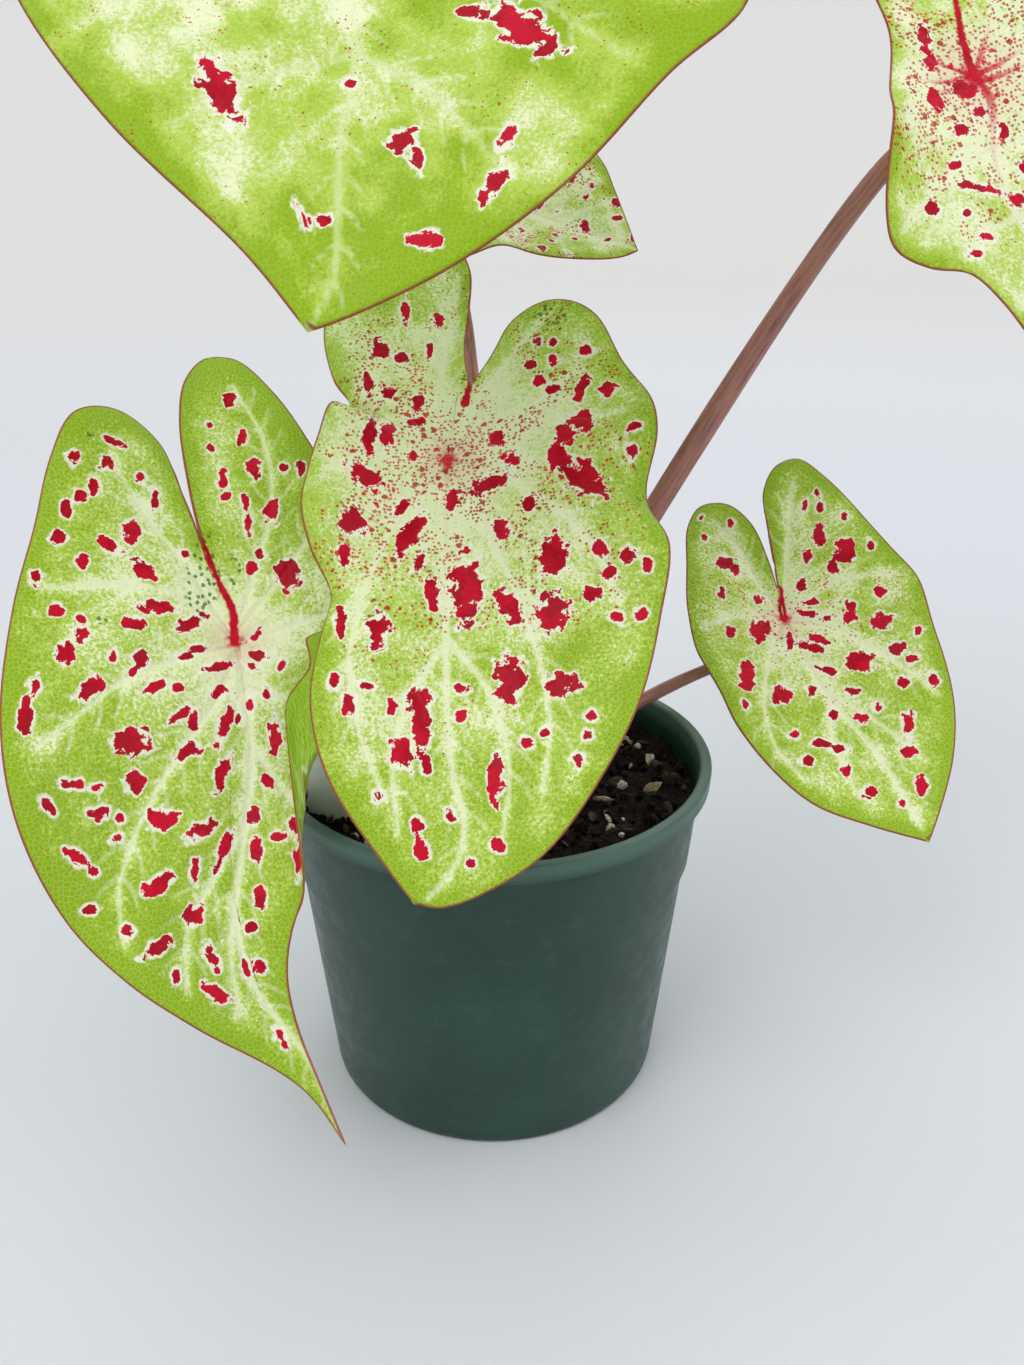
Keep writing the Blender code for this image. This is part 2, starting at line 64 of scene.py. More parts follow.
# The pot, as in the solids
POT_HEIGHT = 88.0 * MM
POT_RIM_RADIUS = 55.0 * MM
POT_RIM_DEPTH = 4.5 * MM
POT_RIM_WIDTH = 2.9 * MM
POT_NECK_RADIUS = 52.8 * MM
POT_COLLAR_Z = 62.0 * MM
POT_COLLAR_RADIUS = 50.5 * MM
POT_COLLAR_STEP = 0.9 * MM
POT_BASE_RADIUS = 43.5 * MM
POT_WALL = 1.2 * MM
POT_FLOOR = 2.0 * MM
DRAIN_RADIUS = 4.0 * MM
DRAIN_CIRCLE = 31.0 * MM
DRAIN_COUNT = 6
SOIL_TOP = 80.0 * MM
SOIL_BUMP = 0.52 * MM
LABEL_SIZE = (14.0 * MM, 0.8 * MM, 62.0 * MM)
LABEL_PLACE = (-37.0 * MM, -21.0 * MM)
LABEL_TOP_Z = 112.0 * MM
LABEL_TURN = np.radians(-12.0)
LABEL_POINT = 12.0 * MM
LABEL_BEVEL = 0.2 * MM
SOIL_GAP = 0.1 * MM

# Veins and splotches, in millimetres on the flattened blade. A reach is as far as a distance is
# measured, and a pair of widths is a half width at the root and at the end.
VEIN_REACH = 12.0
BRANCH_REACH = 4.0
EDGE_REACH = 9.0
LEVEL_RIM = 4.0
MIDRIB_WIDTHS = (1.0, 0.3)
VEIN_WIDTHS = (0.55, 0.1)
BRANCH_WIDTHS = (0.2, 0.0)
SEAM_WIDTHS = (1.1, 0.5)
BRANCH_SPACING = 7.0
BRANCH_LENGTH = 9.0
BRANCH_TURN = np.radians(48.0)
BRANCH_STEPS = 40
RULED_VEINS = ((0.0, 142), (0.0, 108), (0.02, 76), (0.2, 50), (0.4, 30), (0.6, 16))
LEAST_SPLOTCH = (1.7, 1.5)
FARTHEST_HALO = 6.0
FARTHEST_SHARE = 2.0
LARGE_SPECK_DENSITY = 0.3
MAP_SPAN = 100.0
RING_CROWDING = 0.85
RIM_THINNING = 0.45

# The backdrop
FLOOR_RADIUS = 2.2
SWEEP_RADIUS = 0.9
BACKDROP_SECTORS = 96


@dataclass
class Leaf:
    """One leaf. Lengths are millimetres and angles degrees.

    The margins are (across, along) points on the flattened blade from the junction, where the
    petiole meets it: along runs to the tip, across to the right as the upper face is seen from the
    tip. heading turns the tip from -Y towards +X, dip lowers it, and roll lifts the right half.
    droop and lobe_droop bend the midrib per 100 mm. fold raises both halves from the midrib, and cup
    raises them further out. A ripple is (bearing, half width, height) of the margin, and a curl is
    (bearing, half width, rim, fold radius, turn) where the rim is folded up and over. bow swings the
    midrib sideways as it runs to the tip.
    """

    name: str
    junction: tuple
    heading: float
    dip: float
    roll: float
    droop: float
    lobe_droop: float
    fold: float
    cup: float
    left: list
    right: list
    ripples: list
    stem: list
    stem_radii: tuple
    curls: tuple = ()
    bow: tuple = (0.0, 0.0, 0.0)
    around: int = 400
    rings: int = 90


@dataclass
class Markings:
    """The veins and colours of one blade, in millimetres on the flattened blade.

    The first vein is the midrib. A splotch is (across, along, length, width, bearing). sown gives
    how many more splotches are scattered by rule where unseen(across, along) holds, and sown_size
    their least and greatest length. green is the overall share of green, band how far the pale
    zone reaches from a vein, rim the width of the green edge, tip what green gains over the whole
    length, clouds the strength of the soft patches, and patch their size. specks is the density of
    fine crimson dots, and speck_reach how far they spread from the junction. blush is the reach of
    crimson at the junction, streaks its reach along the veins, pale_heart the reach of the paler
    middle, grain the strength of the finest mottle, and pale_veins how pale the veins are. A fleck
    is like a splotch, and bounds an area of dark green flecks.
    """

    veins: list
    seam: list
    splotches: list
    green: float
    band: float
    rim: float
    tip: float
    clouds: float
    patch: float
    specks: float
    blush: float
    streaks: float = 0.0
    vein_tint: tuple = (0.72, 0.72, 0.42)
    sown: int = 0
    sown_size: tuple = (3.0, 9.0)
    unseen: object = None
    ruled: bool = False
    flecks: list = field(default_factory=list)
    grain: float = 1.0
    pale_veins: float = 1.0
    pale_heart: float = 22.0
    speck_reach: float = 58.0


LEAVES = [
    Leaf(
        name="left_leaf", junction=(-57, -22, 126.5), heading=14, dip=46, roll=-6,
        droop=18, lobe_droop=12, fold=20, cup=-4,
        left=[(-5.5, -24), (-9.5, -38), (-14, -50), (-23, -56), (-33, -53), (-39, -41), (-43, -25),
              (-48, -4), (-51, 18), (-49, 38), (-41, 57), (-30, 70), (-17, 81), (5, 98), (13, 111)],
        right=[(-5.5, -24), (-7.5, -38), (-8.5, -58), (-6, -72), (0, -80), (7, -79), (16, -66),
               (25, -44), (30, -29), (36, -14), (42, 0), (45, 14), (41, 27), (31, 38), (20, 47),
               (13, 54), (7, 62), (4, 73), (5, 84), (9, 98), (13, 111)],
        ripples=[(-150, 14, 3), (-120, 16, -2), (-60, 14, 2), (-30, 10, -4), (12, 9, 3)],
        curls=((53, 43, 20.4, 2.4, 176),), bow=(-81, 146, -57),
        stem=[(-9, -2, 62), (-11, -2.5, 84), (-35, -8, 108)], stem_radii=(2.7, 1.9),
        around=440, rings=92),
    Leaf(
        name="centre_leaf", junction=(-10, 4, 161), heading=3, dip=40, roll=4,
        droop=14, lobe_droop=4, fold=14, cup=-2,
        left=[(6, -21), (5, -33), (6.6, -47), (7, -59), (3, -69), (-5, -72), (-15, -66), (-25, -52),
              (-30, -38), (-28, -26), (-24, -19), (-27, -12), (-31, -2), (-33, 14), (-31, 25),
              (-27, 34), (-29, 48), (-30, 61), (-26, 77), (-15, 94), (-9, 102)],
        right=[(6, -21), (11, -28), (17, -38), (24, -41), (31, -39), (38, -33), (43, -20), (48, -8),
               (49, 3), (46, 13), (46, 20), (49, 31), (46, 46), (41, 62), (33, 76), (20, 92),
               (9, 99), (-3, 103), (-9, 102)],
        ripples=[(-130, 9, -6), (-112, 10, 4), (-62, 12, 3), (-40, 9, -4), (-22, 10, 3),
                 (20, 12, -2), (55, 10, 3), (72, 9, -4), (92, 10, 3), (140, 14, 3)],
        stem=[(-2, 1, 62), (-2, 2, 82), (-6, 11, 122)], stem_radii=(2.7, 2.0),
        around=440, rings=92),
    Leaf(
        name="top_leaf", junction=(-23, 24, 297), heading=-2, dip=37, roll=0,
        droop=16, lobe_droop=8, fold=10, cup=-2,
        left=[(2, -24), (-4, -40), (-14, -56), (-30, -65), (-46, -59), (-58, -42), (-66, -18),
              (-69, 8), (-68, 34), (-63, 58), (-56, 75), (-38, 98), (-14, 120), (-3, 133)],
        right=[(2, -24), (8, -40), (18, -56), (34, -64), (50, -57), (62, -40), (70, -16), (73, 10),
               (74, 36), (73, 60), (70, 79), (57, 92), (41, 109), (21, 123), (0, 132), (-3, 133)],
        ripples=[(-110, 18, -4), (-60, 16, 3), (35, 12, 2), (60, 15, -2), (120, 18, 5)],
        stem=[(-3, 9, 62), (-3.5, 12, 82), (-8, 38, 138), (-13, 65, 203), (-18, 57, 256)],
        stem_radii=(3.3, 2.3),
        around=400, rings=80),
    Leaf(
        name="rear_leaf", junction=(-15, 108, 216), heading=74, dip=12, roll=35,
        droop=12, lobe_droop=8, fold=14, cup=-2,
        left=[(0, -9), (-5, -18), (-13, -27), (-22, -27), (-29, -17), (-32, -3), (-31, 10),
              (-26, 21), (-20, 33), (-15, 43), (-9, 52), (-4, 57), (1, 60)],
        right=[(0, -9), (6, -18), (14, -28), (24, -28), (32, -19), (36, -5), (37, 11), (34, 26),
               (26, 39), (18, 46), (12, 51), (6, 56), (1, 60)],
        ripples=[(-65, 12, -3), (-40, 10, 3), (60, 14, -3), (120, 14, 3)],
        stem=[(3, 14, 62), (3, 16, 82), (-3, 56, 132), (-9, 105, 180)], stem_radii=(2.4, 1.7),
        around=240, rings=40),
    Leaf(
        name="high_right_leaf", junction=(104, 18, 241), heading=40, dip=50, roll=25,
        droop=15, lobe_droop=40, fold=8, cup=2,
        left=[(8.2, -23), (10.6, -31), (9, -39), (2, -43), (-5, -38), (-9, -28), (-13, -16), (-22, -2),
              (-30, 11), (-35, 23), (-36, 31), (-31, 38), (-23, 42), (-18, 50), (-14, 60),
              (-8, 71), (2, 82)],
        right=[(8.2, -23), (13, -32), (20, -39), (29, -38), (36, -28), (40, -12), (42, 6), (41, 22),
               (37, 38), (29, 53), (19, 67), (9, 77), (2, 82)],
        ripples=[(-78, 12, 3), (-50, 12, -4), (60, 16, -4), (110, 16, 4)],
        stem=[(4, 6, 62), (6, 7, 84), (38.6, 14, 145), (92, 34, 223)], stem_radii=(3.2, 2.3),
        around=320, rings=72),
    Leaf(
        name="low_right_leaf", junction=(77, 27, 113), heading=31, dip=28, roll=24,
        droop=14, lobe_droop=10, fold=12, cup=-2,
        left=[(4.2, -9), (7.4, -18), (10.6, -31), (9, -41), (3, -45), (-4, -41), (-13, -28), (-21, -15),
              (-26, -2), (-28, 12), (-30, 24), (-28, 38), (-23, 50), (-13, 60), (-2, 69)],
        right=[(4.2, -9), (8.4, -17), (13.8, -28), (19, -37), (27, -42), (33, -40), (35, -30), (35, -12),
               (34, 8), (30, 22), (24, 40), (15, 53), (5, 63), (-2, 69)],
        ripples=[(-100, 14, -2), (-50, 14, 2), (30, 12, -2), (70, 14, 3)],
        stem=[(12, 3, 62), (15, 5, 82), (39, 22, 91), (60, 32, 97)], stem_radii=(2.1, 1.4),
        around=320, rings=64),
]

MARKINGS = {
    "left_leaf": Markings(
        veins=[[(0, 0), (1, 7), (1, 26), (-1, 38), (-4, 50), (-6, 60), (-5, 70), (-2, 78), (7, 92),
                (13, 111)],
               [(0, 0), (-10, -10), (-27, -12), (-41, -10)],
               [(-1, -2), (-8, -15), (-15, -25), (-21, -34), (-26, -43)],
               [(0, 1), (-9, 3), (-24, 9), (-35, 17), (-44, 24)],
               [(0, 3), (-6, 14), (-17, 28), (-25, 40), (-30, 52), (-30, 63)],
               [(0, 0), (12, -2), (26, -4), (39, -6)],
               [(1, 10), (12, 16), (24, 26), (34, 33)],
               [(1, 24), (8, 36), (15, 48)],
               [(0, -2), (6, -16), (12, -34), (12, -52), (6, -70)],
               [(0, -2), (10, -12), (20, -24), (26, -40)],
               [(-2, 42), (-10, 52), (-17, 63), (-18, 74)],
               [(-6, 58), (-8, 68), (-7, 80)]],
        seam=[(0, 0), (0, -8), (-3, -16), (-5.5, -25)],
        splotches=[
            (-25, -47, 4.5, 2, 75), (-34, -41, 3, 2.5, -15), (-27, -41, 3.5, 2.5, -40),
            (-30, -35, 4, 2, -5), (-33, -32, 3, 2.5, -20), (-16, -34, 5.5, 1.5, -5), (-19, -39, 3, 2, -60),
            (-36, -29, 4, 2, -5), (-22, -25, 5.5, 3.5, -10), (-38, -22, 3.5, 3, -65),
            (-27, -21, 5, 2.5, 55), (-33, -17, 3.5, 2.5, -5), (-20, -16, 5.5, 3, 55),
            (-43, -12, 3.5, 2, -5), (-10, -21, 2, 1.5, -35), (-18, -7, 7, 3, -85), (-23, -3, 4.5, 3, -80),
            (-10, -4, 8, 2.5, -60), (-39, -5, 3, 2.5, -55), (-34, -3, 2, 2, -25), (-34, 1, 3, 2.5, -30),
            (-9, 2, 4, 1.5, -85), (-12, 4, 3.5, 2, -85), (-38, 5, 4.5, 3, -5), (-22, 5, 3, 2.5, -35),
            (-28, 5, 2, 1.5, -20), (-24, 8, 2, 1.5, -35), (-4, 6, 8, 1.5, -75), (-19, 11, 5, 2, -60),
            (-14, 11, 2.5, 2, -80), (-33, 12, 6.5, 3, -40), (-5, 12, 4, 2, -55), (-44, 12, 3.5, 2, -5),
            (-46, 18, 7.5, 2.5, -5), (-14, 17, 6, 2, -60), (-11, 18, 4, 2.5, -10), (-4, 19, 8.5, 2, -25),
            (-25, 23, 8, 5, -85), (-13, 25, 6, 2.5, -65), (-6, 30, 8, 2.5, -25), (-38, 31, 4.5, 1.5, 90),
            (-33, 32, 2.5, 1.5, 90), (-25, 31, 4.5, 3.5, -10), (-43, 35, 4, 2, 50), (-33, 37, 4, 2, 90),
            (-29, 38, 2, 1.5, 90), (-20, 39, 6, 4, 85), (-12, 42, 7, 3, -65), (4, 33, 3, 2.5, 5),
            (0, 40, 3, 3, 0), (-7, 46, 8, 2.5, -30), (9, 43, 3, 2.5, 0), (13, 40, 3, 2, -10),
            (5, 45, 2.5, 1.5, 75), (0, 47, 4.5, 2.5, -5), (-30, 42, 2.5, 1.5, 85), (-38, 45, 5.5, 2, 60),
            (-35, 48, 2.5, 1.5, 85), (-14, 50, 4, 1.5, -5), (-22, 52, 6.5, 3, -65), (10, 51, 7, 3.5, -5),
            (0, 57, 4, 2.5, -5), (-36, 55, 3.5, 1.5, 85), (-15, 59, 4, 4, 15), (-29, 60, 2, 2, 75),
            (-3, 63, 2.5, 2.5, 30), (-23, 64, 5.5, 2.5, -70), (-12, 68, 6, 2, 20), (-5, 71, 3.5, 1, 15),
            (-2, 71, 3, 3, 45), (-20, 70, 3, 1.5, -5), (-12, 75, 6, 2.5, 50), (1, 86, 5, 1.5, 20),
            (5, -66, 4.5, 3.5, 0), (-1, -58, 2, 1.5, -20), (-1, -51, 2.5, 2, -15), (7, -54, 5, 2.5, -5),
            (9, -44, 5.5, 3, -5), (16, -43, 2.5, 2, 55), (20, -42, 3.5, 2, -5), (1, -42, 5.5, 2, -5),
            (1, -37, 3, 2.5, -15), (6, -35, 3.5, 1.5, -5), (12, -32, 6, 3.5, -5), (6, -29, 5.5, 1.5, -5),
            (8, -21, 2.5, 2, 10), (6, -18, 3, 2.5, 75), (14, -15, 7.5, 5.5, 0), (5, -1, 4, 2, -60),
            (5, 4, 4, 2.5, 80), (3, 6, 3.5, 1.5, 50), (10, 7, 2.5, 1.5, -5), (6, 13, 2.5, 1.5, -5),
            (2, 15, 3.5, 1.5, -5), (-1, 18, 2.5, 1.5, -5), (7, 23, 6.5, 2.5, -5)],
        green=0.26, band=2.6, rim=6.0, tip=0.60, clouds=0.55, patch=9.0, specks=0.16, blush=2.6,
        flecks=[(-6, -16, 22, 8, -12), (2, -17, 8, 4, 0), (-30, -3, 3, 2, 80), (-30, -47, 3, 2, 30)]),
    "centre_leaf": Markings(
        veins=[[(0, 0), (-1, 29), (-1, 66), (0, 77), (2, 85), (1, 92), (-2, 97), (-6, 101)],
               [(0, 1), (4, 8), (9, 20), (16, 39), (20, 55), (21, 68), (19, 80)],
               [(0, 0), (10, 3), (21, 13), (31, 25), (38, 42)],
               [(0, -1), (12, -4), (26, -6), (42, -4)],
               [(0, -2), (8, -9), (20, -11), (32, -19)],
               [(0, -2), (3, -5), (10, -18), (20, -31), (28, -38)],
               [(0, 1), (-6, 8), (-14, 21), (-20, 38), (-22, 52), (-20, 66), (-15, 80)],
               [(0, 0), (-10, -4), (-17, -1), (-28, 4)],
               [(0, -1), (-2, -12), (-1, -26), (2, -41), (4, -58)],
               [(0, -1), (-6, -10), (-13, -17), (-22, -22)],
               [(-1, 45), (8, 58), (12, 74), (10, 90)],
               [(-1, 46), (-9, 58), (-13, 72), (-12, 88)]],
        seam=[(4.6, -16), (6, -22)],
        splotches=[
            (-10, -45, 7, 2, 0), (-2, -43, 3.5, 3, 0), (-16, -32, 5, 4, -10), (-11, -30, 4, 3, -5),
            (-4, -33, 5.5, 1.5, 0), (-19, -22, 5.5, 2, 0), (-14, -19, 3, 2.5, -80), (-7, -17, 4, 2.5, -5),
            (-8, -11, 3.5, 3, -75), (-14, -7, 6, 3.5, -10), (-18, -5, 7, 3, -5), (-8, -1, 3.5, 1.5, 0),
            (-19, 6, 8, 4.5, 45), (-11, 13, 4.5, 2, -30), (-9, 20, 11, 3.5, -25), (-22, 18, 6, 4.5, -15),
            (-24, 25, 4, 2, -5), (-7, 27, 5, 2, -25), (1, 11, 5.5, 2.5, 0), (10, 8, 9, 4, -75),
            (15, 2, 4, 3, 65), (12, -4, 4.5, 3.5, 45), (12, 20, 4.5, 3, 5), (19, 15, 4, 2.5, 5),
            (24, 29, 9, 5.5, 0), (32, -4, 6, 4.5, 20), (28, -1, 4.5, 3.5, 15), (26, 4, 6, 4, 5),
            (32, 11, 11.5, 6, 35), (33, -14, 7, 2.5, -25), (39, -12, 4, 3.5, 30), (23, -18, 3, 2.5, 20),
            (27, -23, 3, 2.5, 55), (21, -23, 3, 2.5, 50), (26, -15, 3, 2.5, 60), (35, -24, 3.5, 3, 65),
            (27, -28, 2.5, 1.5, 5), (23, -29, 2.5, 2, 20), (44, 1, 3.5, 1.5, -70), (43, 6, 2.5, 2, 10),
            (34, 29, 3.5, 3, 15), (36, 35, 3, 2.5, 5), (40, 32, 3.5, 3, 30), (44, 35, 3, 2, 0),
            (4, 34, 14, 6, 0), (13, 39, 8.5, 3.5, 30), (23, 42, 7.5, 6, 10), (-4, 35, 7.5, 2.5, 0),
            (-16, 44, 6.5, 4, 0), (-24, 42, 5.5, 2, 5), (32, 39, 3.5, 3, 65), (37, 45, 3.5, 2.5, 75),
            (42, 45, 3, 2.5, 70), (13, 56, 10, 5.5, 0), (24, 58, 6.5, 4.5, 80), (-7, 60, 7, 4.5, 0),
            (-7, 67, 6.5, 3.5, 0), (-11, 71, 6.5, 4, 0), (-22, 61, 3.5, 2.5, -5), (-18, 57, 2.5, 1.5, -85),
            (-13, 61, 3.5, 2, 0), (-25, 56, 4, 1.5, 0), (2, 63, 2.5, 2.5, 45), (2, 57, 3, 2, 85),
            (-6, 74, 3, 2.5, -5), (9, 77, 8.5, 3, 0), (16, 70, 2.5, 2, 85), (20, 68, 2, 1.5, 85),
            (30, 65, 2, 2, 50), (29, 69, 2, 2, 60), (27, 74, 2.5, 2, 0), (-16, 80, 2.5, 1.5, 90),
            (-1, 84, 2.5, 2, 0), (-8, 86, 2.5, 2.5, -75), (-7, 91, 3.5, 2.5, 0), (9, 91, 3, 2.5, 0),
            (3, 94, 2, 2, 0)],
        green=0.18, band=2.4, rim=5.5, tip=0.34, clouds=0.60, patch=10.0, specks=0.82, blush=3.2,
        pale_heart=58.0, speck_reach=80.0,
        flecks=[(27, -36, 9, 6, 60), (4, -24, 4, 2, 0), (44, 16, 3, 2, 0)]),
    "top_leaf": Markings(
        veins=[[(0, 0), (1, 68), (3, 82), (1, 99), (1, 123), (-3, 133)]],
        seam=[(0, 0), (1, -12), (2, -25)], ruled=True,
        splotches=[
            (-20, 90, 10.5, 4.5, 30), (32, 79, 13.5, 5.5, 45), (24, 75, 4.5, 2.5, 75),
            (12, 99, 4.5, 4, 65), (15, 103, 5.5, 1.5, 5), (30, 100, 5.5, 2.5, -25), (28, 109, 6.5, 3, -25),
            (17, 118, 5, 2.5, 80), (-1, 113, 2, 2, 10), (-6, 111, 1, 1, 0), (-4, 114, 1.5, 1, 0),
            (2, 86, 2, 1.5, 20)],
        green=0.46, band=2.4, rim=6.0, tip=0.10, clouds=1.05, patch=13.0, specks=0.42, blush=4.0,
        grain=0.45, pale_veins=0.5, speck_reach=170.0,
        sown=52, sown_size=(4.0, 12.0), unseen=lambda across, along: along < 64 + 0.2 * abs(across)),
    "rear_leaf": Markings(
        veins=[[(0, 0), (1, 20), (0, 40), (1, 60)]],
        seam=[(0, 0), (0, -9)], ruled=True,
        splotches=[
            (17, 33, 4, 2.5, -70), (2, 43, 5.5, 2, -70), (14, 48, 3, 3, 40), (5, 57, 4, 2, -70)],
        # The low green share is partly painted light: it makes this blade paler to make up for the shade
        # that the top leaf casts on it.
        green=0.12, band=2.6, rim=4.0, tip=0.05, clouds=0.5, patch=7.0, specks=0.9, blush=2.4, grain=0.6,
        speck_reach=90.0,
        sown=46, sown_size=(1.8, 5.0), unseen=lambda across, along: True),
    "high_right_leaf": Markings(
        veins=[[(0, 0), (1, 6), (-2, 13), (-5, 20), (-6, 30), (-4, 48), (0, 66), (2, 82)]],
        seam=[(0, 0), (2, -8), (6, -17), (8, -23)], ruled=True,
        splotches=[
            (-4, 2, 6, 3.5, 85), (-12, 3, 5, 3, 0), (-3, 8, 4, 2, 80), (-10, 11, 3.5, 2.5, 85),
            (-15, 18, 3, 1.5, 80), (-15, 23, 3.5, 2, 80), (-11, 25, 9.5, 1, 70), (-4, 29, 3.5, 2.5, 90),
            (-25, 26, 3, 2.5, -50), (-18, 29, 2, 1.5, 90), (-16, 35, 3.5, 1.5, 80), (-20, 38, 3, 1.5, 80),
            (0, 14, 3, 2, -35), (0, 23, 3.5, 2, -30), (-6, -12, 8.5, 2.5, -15), (-8, -6, 5, 3, -45)],
        green=0.13, band=2.8, rim=4.0, tip=0.12, clouds=0.45, patch=8.0, specks=0.85, blush=4.2,
        grain=0.6, pale_veins=0.9, speck_reach=60.0, streaks=15.0, vein_tint=(0.74, 0.50, 0.40),
        sown=40, sown_size=(2.2, 7.0),
        unseen=lambda across, along: across > 15 - 0.52 * along or along < -24),
    "low_right_leaf": Markings(
        veins=[[(0, 0), (-2, 14), (-3, 26), (-2, 36), (-1, 46), (-2, 65)],
               [(0, 0), (-8, 7), (-15, 14), (-21, 23), (-24, 33), (-22, 43)],
               [(0, 1), (9, 9), (13, 17), (17, 26), (21, 38)],
               [(0, 0), (15, -2), (23, 1), (32, 6)],
               [(0, -1), (-5, -5), (-12, -7), (-20, -8)],
               [(0, -1), (1, -13), (3, -26), (3, -38)],
               [(0, -1), (3, -4), (12, -16), (20, -26), (28, -35)],
               [(-3, 24), (3, 35), (8, 50)],
               [(-3, 25), (-9, 36), (-12, 51)]],
        seam=[(0, 0), (2, -4), (5, -9)],
        splotches=[
            (30, -27, 2, 1.5, -30), (28, -23, 4.5, 1.5, -35), (25, -26, 3.5, 1.5, -35),
            (31, -16, 3, 1.5, -35), (22, -15, 6, 3, -35), (26, -9, 4.5, 3, 50), (24, -6, 5.5, 3.5, 50),
            (16, -12, 3.5, 2.5, -35), (19, -5, 3.5, 2.5, -35), (31, -5, 3, 1.5, -35), (24, 8, 3, 2.5, -25),
            (10, -6, 3, 2.5, -30), (9, 0, 3, 2, 50), (6, 2, 6, 2, 55), (9, 6, 2, 1.5, 50),
            (16, 7, 3, 2.5, -5), (14, 9, 3.5, 3, 5), (20, 15, 4.5, 4, 45), (26, 22, 2.5, 1, -35),
            (4, 10, 5.5, 2, 30), (1, 11, 7.5, 2.5, 35), (1, 19, 5, 2, 35), (9, 21, 6.5, 4.5, 60),
            (19, 23, 3.5, 3.5, -40), (21, 27, 3, 2, 60), (15, 31, 3, 2.5, 85), (22, 34, 3.5, 2, -35),
            (3, 27, 3.5, 2, 60), (6, 34, 2.5, 2, 65), (10, 41, 6, 2.5, -35), (1, 34, 3, 2.5, 85),
            (-5, 30, 3.5, 2, -35), (6, 47, 3.5, 3, 70), (4, 56, 4, 2.5, -35), (-13, 36, 5.5, 2, 70),
            (-9, 39, 4, 2, 70), (-19, 39, 3.5, 2.5, 80), (-11, 45, 3, 2.5, -60), (-9, 52, 3.5, 3, -75),
            (-3, 58, 2, 1, -40), (-18, 31, 3, 1.5, 75), (-3, 7, 5, 2, -35), (-6, 22, 3, 2.5, -50),
            (-14, 20, 5.5, 4.5, -55), (-8, 0, 7, 4.5, -40), (-19, 11, 9, 4, -35), (-25, 19, 3.5, 1.5, -35),
            (-15, -3, 3.5, 2.5, -35), (-2, -9, 3.5, 3, -45), (-2, -20, 4.5, 2.5, -35),
            (-3, -24, 4.5, 3.5, -40), (-10, -15, 4.5, 2, -35), (-3, -34, 2.5, 1.5, -35),
            (1, -41, 2, 1.5, -30), (6, -34, 3, 2, -25)],
        green=0.34, band=2.6, rim=5.0, tip=0.34, clouds=0.55, patch=7.0, specks=0.4, blush=2.4),
}


def smooth_curve(points, count):
    """count + 1 evenly spaced points along a Catmull-Rom curve through the points given."""
    points = np.array(points, float)
    knots = np.append(0.0, np.cumsum(np.linalg.norm(np.diff(points, axis=0), axis=1) ** 0.5))
    slopes = np.gradient(points, knots, axis=0)
    fine = np.linspace(0.0, knots[-1], 40 * len(points))
    cell = np.clip(np.searchsorted(knots, fine, side="right") - 1, 0, len(points) - 2)
    width = (knots[cell + 1] - knots[cell])[:, None]
    u = (fine - knots[cell])[:, None] / width
    curve = ((2 * u**3 - 3 * u**2 + 1) * points[cell] + (u**3 - 2 * u**2 + u) * width * slopes[cell]
             + (3 * u**2 - 2 * u**3) * points[cell + 1] + (u**3 - u**2) * width * slopes[cell + 1])
    run = np.append(0.0, np.cumsum(np.linalg.norm(np.diff(curve, axis=0), axis=1)))
    even = np.linspace(0.0, run[-1], count + 1)
    return np.stack([np.interp(even, run, axis) for axis in curve.T], axis=1)


def margin_points(leaf, steps):
    """The flattened outline from the notch round the left side, the tip and the right side."""
    left = smooth_curve(leaf.left, steps)
    right = smooth_curve(leaf.right, steps)
    return np.concatenate([left, right[-2:0:-1]]) * MM


def blade_axes(leaf):
    """Unit vectors of the level heading, of level to the right of it, and of up."""
    turn = np.radians(leaf.heading)
    ahead = np.array([np.sin(turn), -np.cos(turn), 0.0])
    up = np.array([0.0, 0.0, 1.0])
    return ahead, np.cross(up, ahead), up


def bow(leaf, along):
    """How far across the midrib has swung at this distance along it: a polynomial past the junction."""
    square, cube, fourth = leaf.bow
    ahead = np.maximum(along, 0.0) / (100.0 * MM)
    return (square + cube * ahead + fourth * ahead**2) * ahead**2 * MM


def straightened(leaf, margin):
    """The margin points with the midrib's bow taken out, so that rays from the junction meet each once."""
    return np.column_stack([margin[:, 0] - bow(leaf, margin[:, 1]), margin[:, 1]])


